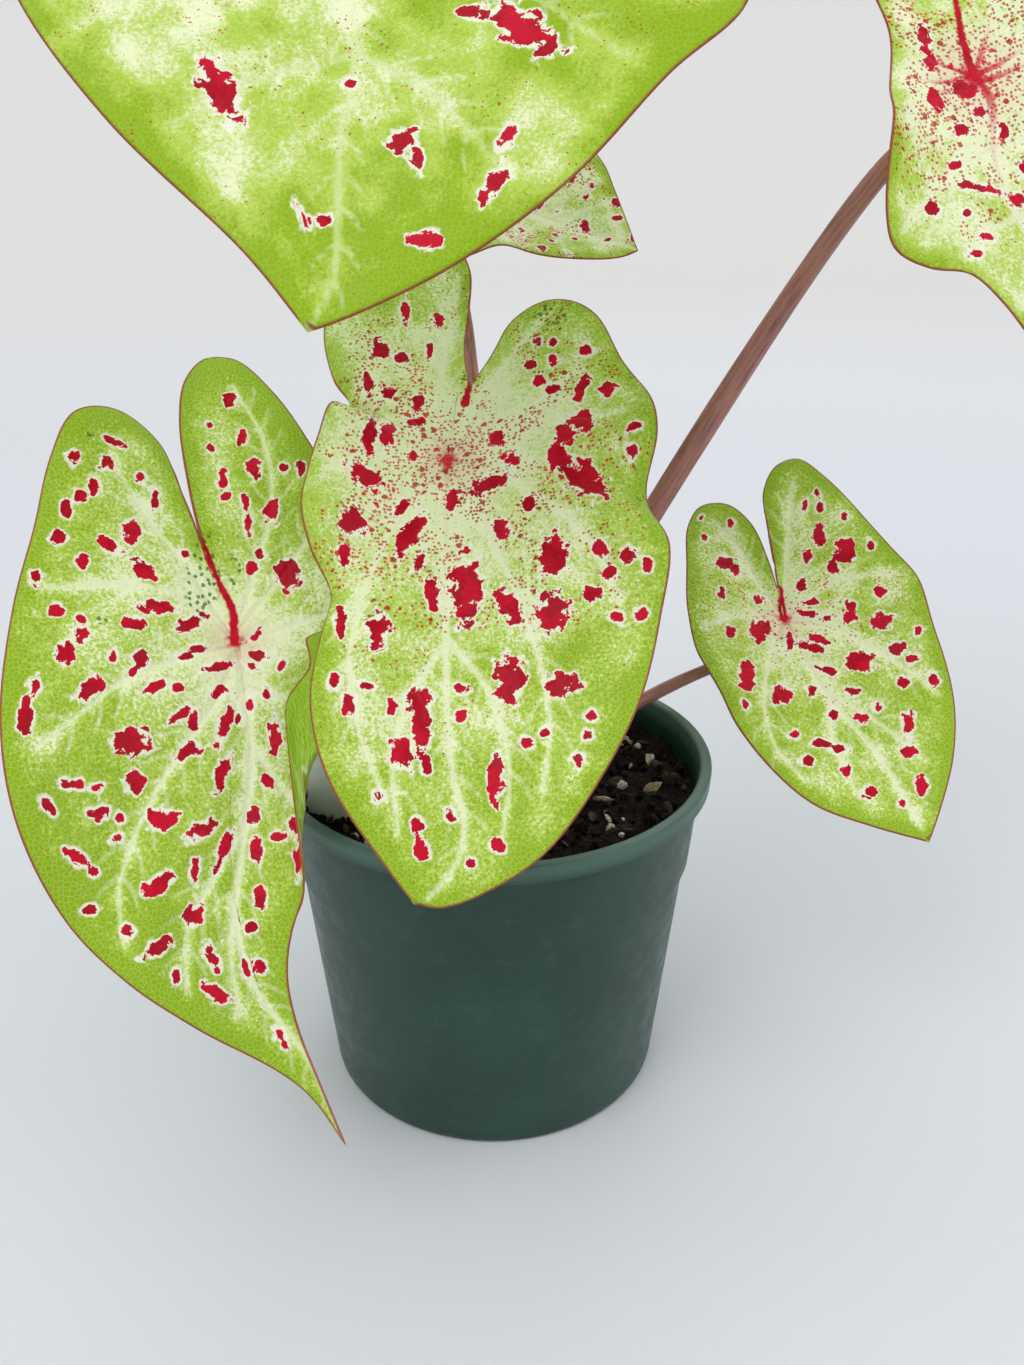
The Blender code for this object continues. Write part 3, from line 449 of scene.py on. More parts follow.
def blade_surface(leaf, margin, reach):
    """Points of the bent blade's sheet, for each margin point at each reach (0 to 1).

    A point lies at reach times its straightened margin point, and is swung back by the bow. A curl
    turns the rim up round a small circle and leaves the rest of it as a straight flap. The fold,
    the cup and the ripples lift the point, and the midrib's arc carries it along.
    """
    ahead, beside, up = blade_axes(leaf)
    margin = straightened(leaf, margin)
    size = np.linalg.norm(margin, axis=1)
    bearing = np.degrees(np.arctan2(margin[:, 0], margin[:, 1]))
    radius = reach[:, None] * size
    lift = np.zeros_like(radius)
    for centre, spread, rim, fold_radius, turn in leaf.curls:
        offset = np.minimum(np.abs(bearing - centre) / spread, 1.0)
        beyond = np.maximum(radius - size + rim * MM * (1.0 - offset**6) ** 2, 0.0)
        turned = np.minimum(beyond / (fold_radius * MM), np.radians(turn))
        flap = beyond - turned * fold_radius * MM
        radius = radius - beyond + fold_radius * MM * np.sin(turned) + flap * np.cos(turned)
        lift = lift + fold_radius * MM * (1.0 - np.cos(turned)) + flap * np.sin(turned)
    for centre, spread, height in leaf.ripples:
        offset = (bearing - centre + 180.0) % 360.0 - 180.0
        lift = lift + height * MM * np.exp(-((offset / spread) ** 2)) * reach[:, None] ** RIPPLE_RISE
    along = radius * margin[:, 1] / size
    across = radius * margin[:, 0] / size + bow(leaf, along)
    arm = np.sqrt(across**2 + FOLD_ROUNDING**2) - FOLD_ROUNDING
    fold = np.radians(leaf.fold)
    lift = lift + arm * np.sin(fold) + leaf.cup * MM * (arm / CUP_SPAN) ** 2
    bend = np.radians(np.where(along > 0.0, leaf.droop, leaf.lobe_droop)) / (100.0 * MM)
    start = np.radians(leaf.dip)
    angle = (start + bend * along)[..., None]
    forward = (np.sin(angle[..., 0]) - np.sin(start)) / bend
    rise = (np.cos(angle[..., 0]) - np.cos(start)) / bend
    spine = forward[..., None] * ahead + rise[..., None] * up
    normal = np.sin(angle) * ahead + np.cos(angle) * up
    roll = np.radians(leaf.roll)
    right = np.cos(roll) * beside + np.sin(roll) * normal
    above = np.cos(roll) * normal - np.sin(roll) * beside
    place = np.array(leaf.junction) * MM
    return place + spine + (across * np.cos(fold))[..., None] * right + lift[..., None] * above


def junction_normal(leaf):
    """The upper normal of the blade where the petiole meets it."""
    ahead, beside, up = blade_axes(leaf)
    dip = np.radians(leaf.dip)
    roll = np.radians(leaf.roll)
    normal = np.sin(dip) * ahead + np.cos(dip) * up
    return np.cos(roll) * normal - np.sin(roll) * beside


def stem_path(leaf, count):
    """The petiole's centre line, from the tuber's crown to just under the blade."""
    down = junction_normal(leaf)
    top = np.array(leaf.junction) * MM - down * BLADE_GAP
    landing = top - down * PETIOLE_LANDING
    points = np.concatenate([np.array(leaf.stem) * MM, [landing, top]])
    return smooth_curve(points, count)


def wall_radius(height):
    """The outer radius of the pot's wall at this height."""
    if height < POT_COLLAR_Z:
        top = POT_COLLAR_RADIUS - POT_COLLAR_STEP
        return np.interp(height, [0.0, POT_COLLAR_Z], [POT_BASE_RADIUS, top])
    return np.interp(height, [POT_COLLAR_Z, POT_HEIGHT], [POT_COLLAR_RADIUS, POT_NECK_RADIUS])


def soil_height(x, y):
    """The height of the soil's top, a level with lumps made of four crossing waves."""
    wave = (np.sin(310 * x + 190 * y) + np.sin(140 * x - 330 * y + 1.3)
            + np.sin(520 * x + 90 * y + 2.1) + np.sin(-260 * x + 470 * y + 4.0))
    return SOIL_TOP + SOIL_BUMP * wave


def circle(sectors):
    """Evenly spaced (x, y) places on a circle of radius one."""
    turn = 2.0 * np.pi * np.arange(sectors) / sectors
    return np.stack([np.cos(turn), np.sin(turn)], axis=1)


def turned(profile, sectors):
    """Rings of points: each (radius, height) of the profile turned round Z."""
    profile = np.array(profile, float)
    level = profile[:, None, :1] * circle(sectors)
    return np.concatenate([level, np.repeat(profile[:, None, 1:], sectors, axis=1)], axis=2)


def ring_quads(rings, around, first=0):
    """The quads between each ring of vertices and the next, from the vertex numbered first."""
    here = np.arange(around)
    after = (here + 1) % around
    inner = first + np.arange(rings - 1)[:, None] * around
    outer = inner + around
    return np.stack([inner + here, outer + here, outer + after, inner + after], axis=2).reshape(-1, 4)


def sheet_faces(rings, around):
    """The fan of triangles round vertex 0 and the quads of the rings outside it."""
    here = np.arange(around)
    fan = np.stack([np.zeros(around, int), 1 + here, 1 + (here + 1) % around], axis=1)
    return fan, ring_quads(rings, around, 1)


def vertex_normals(points, fan, quads):
    """Unit normals of the vertices, each the sum of the normals of the faces round it."""
    triangles = np.concatenate([fan, quads[:, :3], quads[:, [0, 2, 3]]])
    corners = points[triangles]
    across = np.cross(corners[:, 1] - corners[:, 0], corners[:, 2] - corners[:, 0])
    normals = np.zeros_like(points)
    for corner in range(3):
        for axis in range(3):
            normals[:, axis] += np.bincount(triangles[:, corner], across[:, axis], len(points))
    return normals / np.linalg.norm(normals, axis=1)[:, None]


def put_object(name, data):
    """An object with this data, linked to the scene."""
    made = bpy.data.objects.new(name, data)
    bpy.context.scene.collection.objects.link(made)
    return made


def put_mesh(name, points, *faces, sharp=None):
    """A smooth mesh object of these points, with faces given as arrays of vertex numbers."""
    corners = np.concatenate([group.ravel() for group in faces]).astype(np.int32)
    sizes = np.concatenate([np.full(len(group), group.shape[1]) for group in faces])
    mesh = bpy.data.meshes.new(name)
    mesh.vertices.add(len(points))
    mesh.vertices.foreach_set("co", np.ascontiguousarray(points, np.float32).ravel())
    mesh.loops.add(len(corners))
    mesh.loops.foreach_set("vertex_index", corners)
    mesh.polygons.add(len(sizes))
    mesh.polygons.foreach_set("loop_start", (np.cumsum(sizes) - sizes).astype(np.int32))
    mesh.update(calc_edges=True)
    mesh.shade_smooth()
    if sharp is not None:
        mesh.set_sharp_from_angle(angle=np.radians(sharp))
    return put_object(name, mesh)


def put_tube(name, rings, tips, sharp, flipped=False):
    """A closed tube of rings of points, whose ends are fans round two tips.

    Its faces look outwards if the rings run downwards, or if it is flipped and they run upwards.
    """
    count, around = rings.shape[:2]
    here = np.arange(around)
    after = (here + 1) % around
    last = (count - 1) * around
    tip = np.full(around, count * around)
    caps = np.concatenate([np.stack([tip, here, after], axis=1),
                           np.stack([tip + 1, last + after, last + here], axis=1)])
    quads = ring_quads(count, around)
    if flipped:
        caps, quads = caps[:, [0, 2, 1]], quads[:, [0, 3, 2, 1]]
    return put_mesh(name, np.concatenate([rings.reshape(-1, 3), tips]), quads, caps, sharp=sharp)


def put_values(made, name, values):
    """A number for each vertex, which the materials read by this name."""
    layer = made.data.attributes.new(name, "FLOAT", "POINT")
    layer.data.foreach_set("value", np.ascontiguousarray(values, np.float32))


def put_map(made, name, places):
    """A UV map that gives each vertex the place listed for it."""
    corners = np.empty(len(made.data.loops), np.int32)
    made.data.loops.foreach_get("vertex_index", corners)
    layer = made.data.uv_layers.new(name=name)
    layer.uv.foreach_set("vector", places[corners].astype(np.float32).ravel())


def finish_piece(made, material, slot, *nodes):
    """Gives the piece its material, and lets it stand for the solids named. slot is not used."""
    made.data.materials.append(material)
    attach(made, "root")
    if nodes:
        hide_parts(*nodes)


def line_gap(points, line, wide=0.0, narrow=0.0):
    """How far each point is from the side of a smooth line that tapers from wide to narrow.

    The foot of a point on a straight piece is its projection, kept between the piece's ends.
    """
    path = smooth_curve(line, 4 * len(line)) if len(line) > 2 else np.array(line, float)
    half = np.linspace(wide, narrow, len(path))
    start = path[:-1]
    run = path[1:] - start
    offset = points[:, None] - start
    share = np.clip((offset * run).sum(axis=2) / (run**2).sum(axis=1), 0.0, 1.0)
    away = np.linalg.norm(offset - share[..., None] * run, axis=2)
    side = half[:-1] + share * (half[1:] - half[:-1])
    return (away - side).min(axis=1)


def least_gap(points, lines, reach, widths=None):
    """The least of line_gap over the lines, and the reach where it would be more than that."""
    least = np.full(len(points), reach)
    for line, (wide, narrow) in zip(lines, widths or [(0.0, 0.0)] * len(lines)):
        line = np.array(line, float)
        low, high = line.min(axis=0) - reach - wide, line.max(axis=0) + reach + wide
        near = np.flatnonzero(((points > low) & (points < high)).all(axis=1))
        least[near] = np.minimum(least[near], line_gap(points[near], line, wide, narrow))
    return least


def ellipse_field(points, ellipses):
    """Two fields of each point: how far outside the nearest ellipse it is in mm, and as a share.

    With q the distance from the centre in units of the half axes, the share is q - 1, and the
    distance is q (q - 1) over the length of half of the gradient of q squared.
    """
    away = np.full(len(points), FARTHEST_HALO)
    share = np.full(len(points), FARTHEST_SHARE)
    for across, along, length, width, bearing in ellipses:
        turn = np.radians(bearing)
        offset = points - (across, along)
        ahead = offset[:, 0] * np.sin(turn) + offset[:, 1] * np.cos(turn)
        aside = offset[:, 0] * np.cos(turn) - offset[:, 1] * np.sin(turn)
        half_length = max(length, LEAST_SPLOTCH[0]) / 2
        half_width = max(width, LEAST_SPLOTCH[1]) / 2
        q = np.hypot(ahead / half_length, aside / half_width)
        slope = np.hypot(ahead / half_length**2, aside / half_width**2) + 1e-6
        away = np.minimum(away, q * (q - 1.0) / slope)
        share = np.minimum(share, q - 1.0)
    return away, share


def margin_reach(margin_mm, bearing):
    """The margin's distance from the junction at each bearing in degrees."""
    angle = np.degrees(np.arctan2(margin_mm[:, 0], margin_mm[:, 1]))
    order = np.argsort(angle)
    return np.interp(bearing, angle[order], np.linalg.norm(margin_mm, axis=1)[order])


def ruled_veins(midrib, margin_mm):
    """Side veins that leave the midrib at set shares of its length and bend towards the tip."""
    across, along = np.array(midrib, float).T
    veins = []
    for share, bearing in RULED_VEINS:
        root = share * along[-1]
        for side in (-1, 1):
            angle = np.radians(side * bearing)
            heading = np.array([np.sin(angle), np.cos(angle)])
            end = 0.93 * margin_reach(margin_mm, side * bearing) * heading
            start = np.array([np.interp(root, along, across), root])
            bend = np.array([0.0, 0.08 * np.linalg.norm(end - start)])
            veins.append([start, start + 0.5 * (end - start) - bend * np.sign(heading[1]), end])
    return veins


def branch_veins(veins):
    """Finer veins that leave each vein on both sides, turned outwards and shorter towards its end."""
    branches = []
    for line in veins:
        path = smooth_curve(line, BRANCH_STEPS)
        run = np.linalg.norm(np.diff(path, axis=0), axis=1).sum()
        for number in range(1, int(run / BRANCH_SPACING)):
            place = min(int(BRANCH_STEPS * number * BRANCH_SPACING / run), BRANCH_STEPS - 2)
            ahead = path[place + 1] - path[place]
            ahead = ahead / np.linalg.norm(ahead)
            for side in (-1, 1):
                cos, sin = np.cos(side * BRANCH_TURN), np.sin(side * BRANCH_TURN)
                out = np.array([ahead[0] * cos - ahead[1] * sin, ahead[0] * sin + ahead[1] * cos])
                reach = BRANCH_LENGTH * (1.0 - 0.4 * number * BRANCH_SPACING / run)
                middle = path[place] + 0.55 * reach * out
                branches.append([path[place], middle, middle + 0.45 * reach * (out + 0.5 * ahead)])
    return branches


def sow_splotches(markings, margin_mm, seed):
    """Splotches scattered over the part of the blade that no list covers, clear of one another."""
    rng = np.random.default_rng(seed)
    low, high = margin_mm.min(axis=0), margin_mm.max(axis=0)
    sown = []
    taken = [spot[:3] for spot in markings.splotches]
    for _ in range(markings.sown * 30):
        across, along = rng.uniform(low, high)
        size = rng.uniform(*markings.sown_size) * rng.uniform(0.6, 1.0)
        reach = margin_reach(margin_mm, np.degrees(np.arctan2(across, along)))
        clear = all(np.hypot(across - x, along - y) > 0.9 * (size + other) for x, y, other in taken)
        if clear and np.hypot(across, along) < reach - 0.6 * size and markings.unseen(across, along):
            sown.append((across, along, size, size * rng.uniform(0.35, 0.65), rng.uniform(-90, 90)))
            taken.append((across, along, size))
        if len(sown) == markings.sown:
            break
    return sown


def value_noise(x, y, size, seed):
    """Smooth numbers from -1 to 1: a seeded grid of random ones, blended by eased distance."""
    rng = np.random.default_rng(seed)
    grid = rng.uniform(-1.0, 1.0, (256, 256))
    u, v = x / size + 100.0, y / size + 100.0
    i, j = np.floor(u).astype(int), np.floor(v).astype(int)
    u, v = u - i, v - j
    u, v = u * u * (3 - 2 * u), v * v * (3 - 2 * v)
    i, j = i % 255, j % 255
    return ((grid[i, j] * (1 - u) + grid[i + 1, j] * u) * (1 - v)
            + (grid[i, j + 1] * (1 - u) + grid[i + 1, j + 1] * u) * v)


def soft_noise(flat, size, seed):
    """Three octaves of value noise over the flat blade, from about -1 to 1."""
    x, y = flat[:, 0], flat[:, 1]
    return (value_noise(x, y, size, seed) + 0.55 * value_noise(x, y, size / 2, seed + 1)
            + 0.3 * value_noise(x, y, size / 4, seed + 2)) / 1.3


def bell(away, width):
    """One at a line, falling off within about this width of it."""
    return np.exp(-((away / width) ** 2))


def blade_relief(flat, veins, branches, edge, look):
    """How far the sheet is raised: quilted between veins, grooved along them, level at the margin.

    The quilt is one minus a bell over the distance from a vein, the grooves are narrow bells, and
    slow waves over the flat blade make it uneven.
    """
    vein = least_gap(flat, veins, VEIN_REACH)
    branch = least_gap(flat, branches, BRANCH_REACH)
    quilt = look.quilt * (0.75 * (1.0 - bell(vein, 5.0)) + 0.25 * (1.0 - bell(branch, 2.0)))
    groove = look.groove * (bell(vein, 0.9) + 0.35 * bell(branch, 0.6))
    across, along = flat.T
    wave = 0.25 * MM * (np.sin(across / 6.1 + 1.0) * np.sin(along / 7.3)
                        + np.sin(across / 3.7 + along / 4.9 + 2.0) * 0.5)
    return (quilt + wave - groove) * np.clip(edge / LEVEL_RIM, 0.0, 1.0)


def blade(leaf, seed, look):
    """The blade: a polar grid on the flat outline, bent, raised by its relief and given thickness.

    A point is reach times its straightened margin point, swung back by the bow. The upper and
    lower faces lie half the thickness from the sheet along its normal, thinner in the last ring so
    that the rim is round.
    """
    markings = MARKINGS[leaf.name]
    margin = margin_points(leaf, leaf.around // 2)
    around = len(margin)
    reach = (np.arange(1, leaf.rings + 1) / leaf.rings) ** RING_CROWDING
    rings = reach[:, None, None] * straightened(leaf, margin)
    rings[..., 0] += bow(leaf, rings[..., 1])
    flat = np.concatenate([[[0.0, 0.0]], rings.reshape(-1, 2)]) / MM
    middle = np.array(leaf.junction) * MM
    sheet = np.concatenate([[middle], blade_surface(leaf, margin, reach).reshape(-1, 3)])
    fan, quads = sheet_faces(leaf.rings, around)
    margin_mm = margin / MM
    veins = list(markings.veins)
    if markings.ruled:
        veins += ruled_veins(markings.veins[0], margin_mm)
    branches = branch_veins(veins)
    rim_line = np.concatenate([margin_mm[::3], margin_mm[:1]])
    edge = least_gap(flat, list(zip(rim_line, rim_line[1:])), EDGE_REACH)
    normals = vertex_normals(sheet, fan, quads)
    sheet = sheet + normals * blade_relief(flat, veins, branches, edge, look)[:, None]
    normals = vertex_normals(sheet, fan, quads)
    half = np.full(len(sheet), look.thickness / 2)
    half[-around:] *= RIM_THINNING
    points = np.concatenate([sheet + normals * half[:, None], sheet - normals * half[:, None]])
    rim = len(sheet) - around + np.arange(around)
    after = np.roll(rim, -1)
    below = len(sheet)
    band = np.stack([rim, rim + below, after + below, after], axis=1)
    made = put_mesh(leaf.name, points, fan, fan[:, ::-1] + below, quads, quads[:, ::-1] + below, band)

    away, share = ellipse_field(flat, markings.splotches + sow_splotches(markings, margin_mm, seed))
    widths = [MIDRIB_WIDTHS] + [VEIN_WIDTHS] * (len(veins) - 1)
    clouds = markings.clouds * soft_noise(flat, markings.patch * 1.3, seed * 10)
    values = {
        "vein": least_gap(flat, veins, VEIN_REACH, widths),
        "branch": least_gap(flat, branches, BRANCH_REACH, [BRANCH_WIDTHS] * len(branches)),
        "edge": edge,
        "halo": away,
        "splotch": share,
        "fleck": ellipse_field(flat, markings.flecks)[1],
        "heart": np.linalg.norm(flat, axis=1),
        "seam": line_gap(flat, markings.seam, *SEAM_WIDTHS),
        "uneven": clouds + 0.34 * soft_noise(flat, 3.6, seed * 10 + 3),
        "wobble": soft_noise(flat, 4.5, seed * 10 + 6),
        "drift": soft_noise(flat, 7.0, seed * 10 + 9),
    }
    for name, value in values.items():
        put_values(made, name, np.tile(value, 2))
    put_values(made, "under", np.repeat([0.0, 1.0], len(flat)))
    put_map(made, "flat", np.tile(flat, (2, 1)) / MAP_SPAN)
    finish_piece(made, blade_material(leaf.name, markings, seed, look), "leaf_blade",
                 leaf.name + "_blade")


def frames_along(path):
    """Unit side vectors of a path: the first crosses it levelly, the second stands on both."""
    ahead = np.gradient(path, axis=0)
    ahead /= np.linalg.norm(ahead, axis=1)[:, None]
    first = np.cross(ahead, (0.31, 0.95, 0.05))
    first /= np.linalg.norm(first, axis=1)[:, None]
    return first, np.cross(ahead, first)


def petiole(leaf, material, look):
    """The petiole: a round of slightly ridged rings carried along its path.

    The radius runs evenly from base to top, times one plus a small cosine of the turn for the
    ridges, and widens over the last millimetres where it spreads into the blade's veins.
    """
    steps, around = look.stalk_steps, look.stalk_sides
    path = stem_path(leaf, steps)
    first, second = frames_along(path)
    share = np.linspace(0.0, 1.0, steps + 1)
    turn = 2.0 * np.pi * np.arange(around) / around
    base, top = np.array(leaf.stem_radii) * MM
    left = np.linalg.norm(path - path[-1], axis=1) / MM
    radius = (base + (top - base) * share) * (1.0 + 0.22 * np.exp(-left / 2.2))
    ridge = 1.0 + 0.025 * np.cos(7 * turn + 3.0) + 0.02 * np.cos(3 * turn)
    slow = 1.0 + 0.02 * np.sin(share * 23.0 + 1.0)
    side = circle(around)
    spokes = side[None, :, :1] * first[:, None] + side[None, :, 1:] * second[:, None]
    rings = path[:, None] + (radius * slow)[:, None, None] * ridge[None, :, None] * spokes
    made = put_tube(leaf.name + "_stalk", rings, path[[0, -1]], 60.0, flipped=True)
    run = np.append(0.0, np.cumsum(np.linalg.norm(np.diff(path, axis=0), axis=1))) / MM
    for name, values in (("run", run), ("to_top", left)):
        put_values(made, name, np.concatenate([np.repeat(values, around), values[[0, -1]]]))
    for name, values in zip(("round_x", "round_y"), side.T):
        put_values(made, name, np.concatenate([np.tile(values, steps + 1), [0.0, 0.0]]))
    finish_piece(made, material, "petiole_mauve", leaf.name + "_petiole")


def rounded(profile, radii, steps=5):
    """The polyline with each corner replaced by a curve that starts and ends radii away from it."""
    profile = np.array(profile, float)
    share = np.linspace(0.0, 1.0, steps)[:, None]
    out = [profile[:1]]
    for before, corner, after, radius in zip(profile, profile[1:], profile[2:], radii):
        if radius <= 0.0:
            out.append(corner[None])
            continue
        towards = (before - corner) / np.linalg.norm(before - corner)
        onwards = (after - corner) / np.linalg.norm(after - corner)
        a, b = corner + towards * radius, corner + onwards * radius
        out.append((1 - share) ** 2 * a + 2 * share * (1 - share) * corner + share**2 * b)
    return np.concatenate(out + [profile[-1:]])


def pot_profile():
    """The pot's section from the middle of its floor, up inside, over the rim and down outside."""
    lip = POT_RIM_RADIUS - POT_RIM_WIDTH
    under = POT_HEIGHT - POT_RIM_DEPTH
    corners = [
        (0.0, POT_FLOOR),
        (POT_BASE_RADIUS - POT_WALL - 1.2 * MM, POT_FLOOR),
        (wall_radius(POT_COLLAR_Z - 1.0 * MM) - POT_WALL, POT_COLLAR_Z - 1.0 * MM),
        (wall_radius(POT_COLLAR_Z + 1.2 * MM) - POT_WALL, POT_COLLAR_Z + 1.2 * MM),
        (lip - 0.7 * MM, under),
        (lip, POT_HEIGHT),
        (POT_RIM_RADIUS, POT_HEIGHT),
        (POT_RIM_RADIUS - 0.3 * MM, under),
        (wall_radius(under - 0.6 * MM), under - 0.6 * MM),
        (wall_radius(POT_COLLAR_Z + 0.6 * MM), POT_COLLAR_Z + 0.6 * MM),
        (wall_radius(POT_COLLAR_Z - 0.1 * MM), POT_COLLAR_Z - 0.1 * MM),
        (POT_BASE_RADIUS, 0.0),
        (POT_BASE_RADIUS - 5.0 * MM, 0.0),
        (POT_BASE_RADIUS - 5.6 * MM, 0.5 * MM),
        (0.0, 0.5 * MM),
    ]
    radii = np.array([1.6, 0.4, 0.5, 0.8, 0.9, 0.9, 0.5, 0.25, 0.3, 0.3, 1.8, 0.3, 0.3]) * MM
    return rounded(corners, radii)


def drain_cutter(sectors=40):
    """Upright round bars through the pot's floor, one for each drain hole, in one mesh."""
    bar = turned([(DRAIN_RADIUS, -POT_FLOOR), (DRAIN_RADIUS, 2 * POT_FLOOR)], sectors).reshape(-1, 3)
    here = np.arange(sectors)
    points, sides, caps = [], [], []
    for number in range(DRAIN_COUNT):
        place = 2.0 * np.pi * (number + 0.5) / DRAIN_COUNT
        first = len(bar) * number
        points.append(bar + DRAIN_CIRCLE * np.array([np.cos(place), np.sin(place), 0.0]))
        sides.append(first + ring_quads(2, sectors)[:, [0, 3, 2, 1]])
        caps.append(first + np.stack([here[::-1], here + sectors]))
    return put_mesh("drain_cutter", np.concatenate(points), np.concatenate(sides), np.concatenate(caps))


def cut_out(made, cutter):
    """Cuts the cutter out of the piece, bakes the result into its mesh and removes the cutter."""
    modifier = made.modifiers.new("drains", "BOOLEAN")
    modifier.object = cutter
    modifier.solver = "EXACT"
    graph = bpy.context.evaluated_depsgraph_get()
    mesh = bpy.data.meshes.new_from_object(made.evaluated_get(graph))
    made.modifiers.clear()
    made.data = mesh
    bpy.data.objects.remove(cutter)


def mix_top(x, y):
    """The height of the potting mix: the solids' lumps with clods and crumbs of three sizes."""
    clods = 1.0 * value_noise(x, y, 6.0 * MM, 3) + 0.7 * value_noise(x, y, 2.6 * MM, 4)
    crumbs = 0.45 * np.abs(value_noise(x, y, 1.1 * MM, 5))
    return soil_height(x, y) + (clods + crumbs - 0.3) * MM


def potting_mix(material, look):
    """The potting mix: a disc of rings raised by mix_top, with sides down to the pot's floor."""
    around, rings = look.around, look.rings
    spread = wall_radius(SOIL_TOP) - POT_WALL - SOIL_GAP
    reach = np.arange(1, rings + 1) / rings
    disc = (reach[:, None, None] * circle(around) * spread).reshape(-1, 2)
    flat = np.concatenate([[[0.0, 0.0]], disc])
    top = np.column_stack([flat, mix_top(flat[:, 0], flat[:, 1])])
    heights = [POT_COLLAR_Z + 2 * MM, POT_COLLAR_Z - 2 * MM, POT_FLOOR * 3]
    sides = [(wall_radius(z) - POT_WALL - 2 * SOIL_GAP, z) for z in heights]
    foot = POT_FLOOR + SOIL_GAP
    sides.append((POT_BASE_RADIUS - POT_WALL - 4 * MM, foot))
    points = np.concatenate([top, turned(sides, around).reshape(-1, 3), [[0.0, 0.0, foot]]])
    fan, quads = sheet_faces(rings + len(sides), around)
    last = len(points) - 1 - around + np.arange(around)
    bottom = np.stack([last, np.full(around, len(points) - 1), np.roll(last, -1)], axis=1)
    made = put_mesh("potting_mix", points, fan, quads, bottom, sharp=70.0)
    finish_piece(made, material, "soil_mix", "soil")


def lump():
    """An octahedron whose edges are split once and pushed onto a sphere: 18 points, 32 faces."""
    tips = np.array([(1, 0, 0), (-1, 0, 0), (0, 1, 0), (0, -1, 0), (0, 0, 1), (0, 0, -1)], float)
    sides = [(0, 2, 4), (2, 1, 4), (1, 3, 4), (3, 0, 4), (2, 0, 5), (1, 2, 5), (3, 1, 5), (0, 3, 5)]
    points, middles, faces = list(tips), {}, []
    for side in sides:
        split = []
        for a, b in zip(side, side[1:] + side[:1]):
            key = (min(a, b), max(a, b))
            if key not in middles:
                middles[key] = len(points)
                points.append((tips[a] + tips[b]) / np.linalg.norm(tips[a] + tips[b]))
            split.append(middles[key])
        faces += [(side[0], split[0], split[2]), (side[1], split[1], split[0]),
                  (side[2], split[2], split[1]), tuple(split)]
    return np.array(points), np.array(faces)


def random_turns(rng, count):
    """Rotation matrices from random unit quaternions, as an array of 3 by 3."""
    w, x, y, z = rng.normal(size=(count, 4)).T
    size = np.sqrt(w * w + x * x + y * y + z * z)
    w, x, y, z = w / size, x / size, y / size, z / size
    rows = [[1 - 2 * (y * y + z * z), 2 * (x * y - z * w), 2 * (x * z + y * w)],
            [2 * (x * y + z * w), 1 - 2 * (x * x + z * z), 2 * (y * z - x * w)],
            [2 * (x * z - y * w), 2 * (y * z + x * w), 1 - 2 * (x * x + y * y)]]
    return np.moveaxis(np.array(rows), 2, 0)


def scattered(name, count, sizes, squash, roughness, sunk, seed):
    """Many lumps strewn over the potting mix, in one mesh.

    Each is a lump times its size and squash, with its points pushed in and out at random, turned
    at random and set on mix_top, sunk by a share of its size.
    """
    rng = np.random.default_rng(seed)
    shape, faces = lump()
    radius = (POT_NECK_RADIUS - 4.5 * MM) * np.sqrt(rng.uniform(0.0, 1.0, count))
    angle = rng.uniform(0.0, 2.0 * np.pi, count)
    x, y = radius * np.cos(angle), radius * np.sin(angle)
    size = rng.uniform(sizes[0], sizes[1], count) * MM / 2
    push = 1.0 + rng.uniform(-roughness, roughness, (count, len(shape), 1))
    bodies = shape[None] * push * size[:, None, None] * np.array(squash)
    turns = random_turns(rng, count)
    bodies = np.einsum("nij,nkj->nki", turns, bodies)
    places = np.column_stack([x, y, mix_top(x, y) + size * min(squash[0], 1.0) * (1.0 - 2.0 * sunk)])
    points = (bodies + places[:, None]).reshape(-1, 3)
    numbers = (faces[None] + len(shape) * np.arange(count)[:, None, None]).reshape(-1, 3)
    return put_mesh(name, points, numbers, sharp=50.0)


def plant_label(material):
    """The blank plant label: a rounded strip with a pointed foot, as thick as a sheet of plastic."""
    width, thickness, height = LABEL_SIZE
    half = width / 2
    shoulder = LABEL_POINT - height
    corners = [(0.0, -height), (half, shoulder), (half, 0.0), (-half, 0.0), (-half, shoulder)]
    outline = rounded(corners + corners[:1], np.array([2.0, 2.4, 2.4, 2.0]) * MM, 8)[:-1]
    inset = outline * (1.0 - LABEL_BEVEL / half)
    count = len(outline)
    layers = [(inset, -0.5), (outline, -0.25), (outline, 0.25), (inset, 0.5)]
    local = np.concatenate([np.column_stack([line[:, 0], np.full(count, share * thickness), line[:, 1]])
                            for line, share in layers])
    cos, sin = np.cos(LABEL_TURN), np.sin(LABEL_TURN)
    points = np.column_stack([local[:, 0] * cos - local[:, 1] * sin + LABEL_PLACE[0],
                              local[:, 0] * sin + local[:, 1] * cos + LABEL_PLACE[1],
                              local[:, 2] + LABEL_TOP_Z])
    here = np.arange(count)
    faces = np.stack([here, (here + 3 * count)[::-1]])
    made = put_mesh("blank_label", points, ring_quads(len(layers), count), faces, sharp=50.0)
    finish_piece(made, material, "label_white", "plant_label")


def linear(text):
    """A colour written as #rrggbb, as the linear numbers that shaders take."""
    values = np.array([int(text[i:i + 2], 16) for i in (1, 3, 5)]) / 255.0
    return tuple(np.where(values <= 0.04045, values / 12.92, ((values + 0.055) / 1.055) ** 2.4))


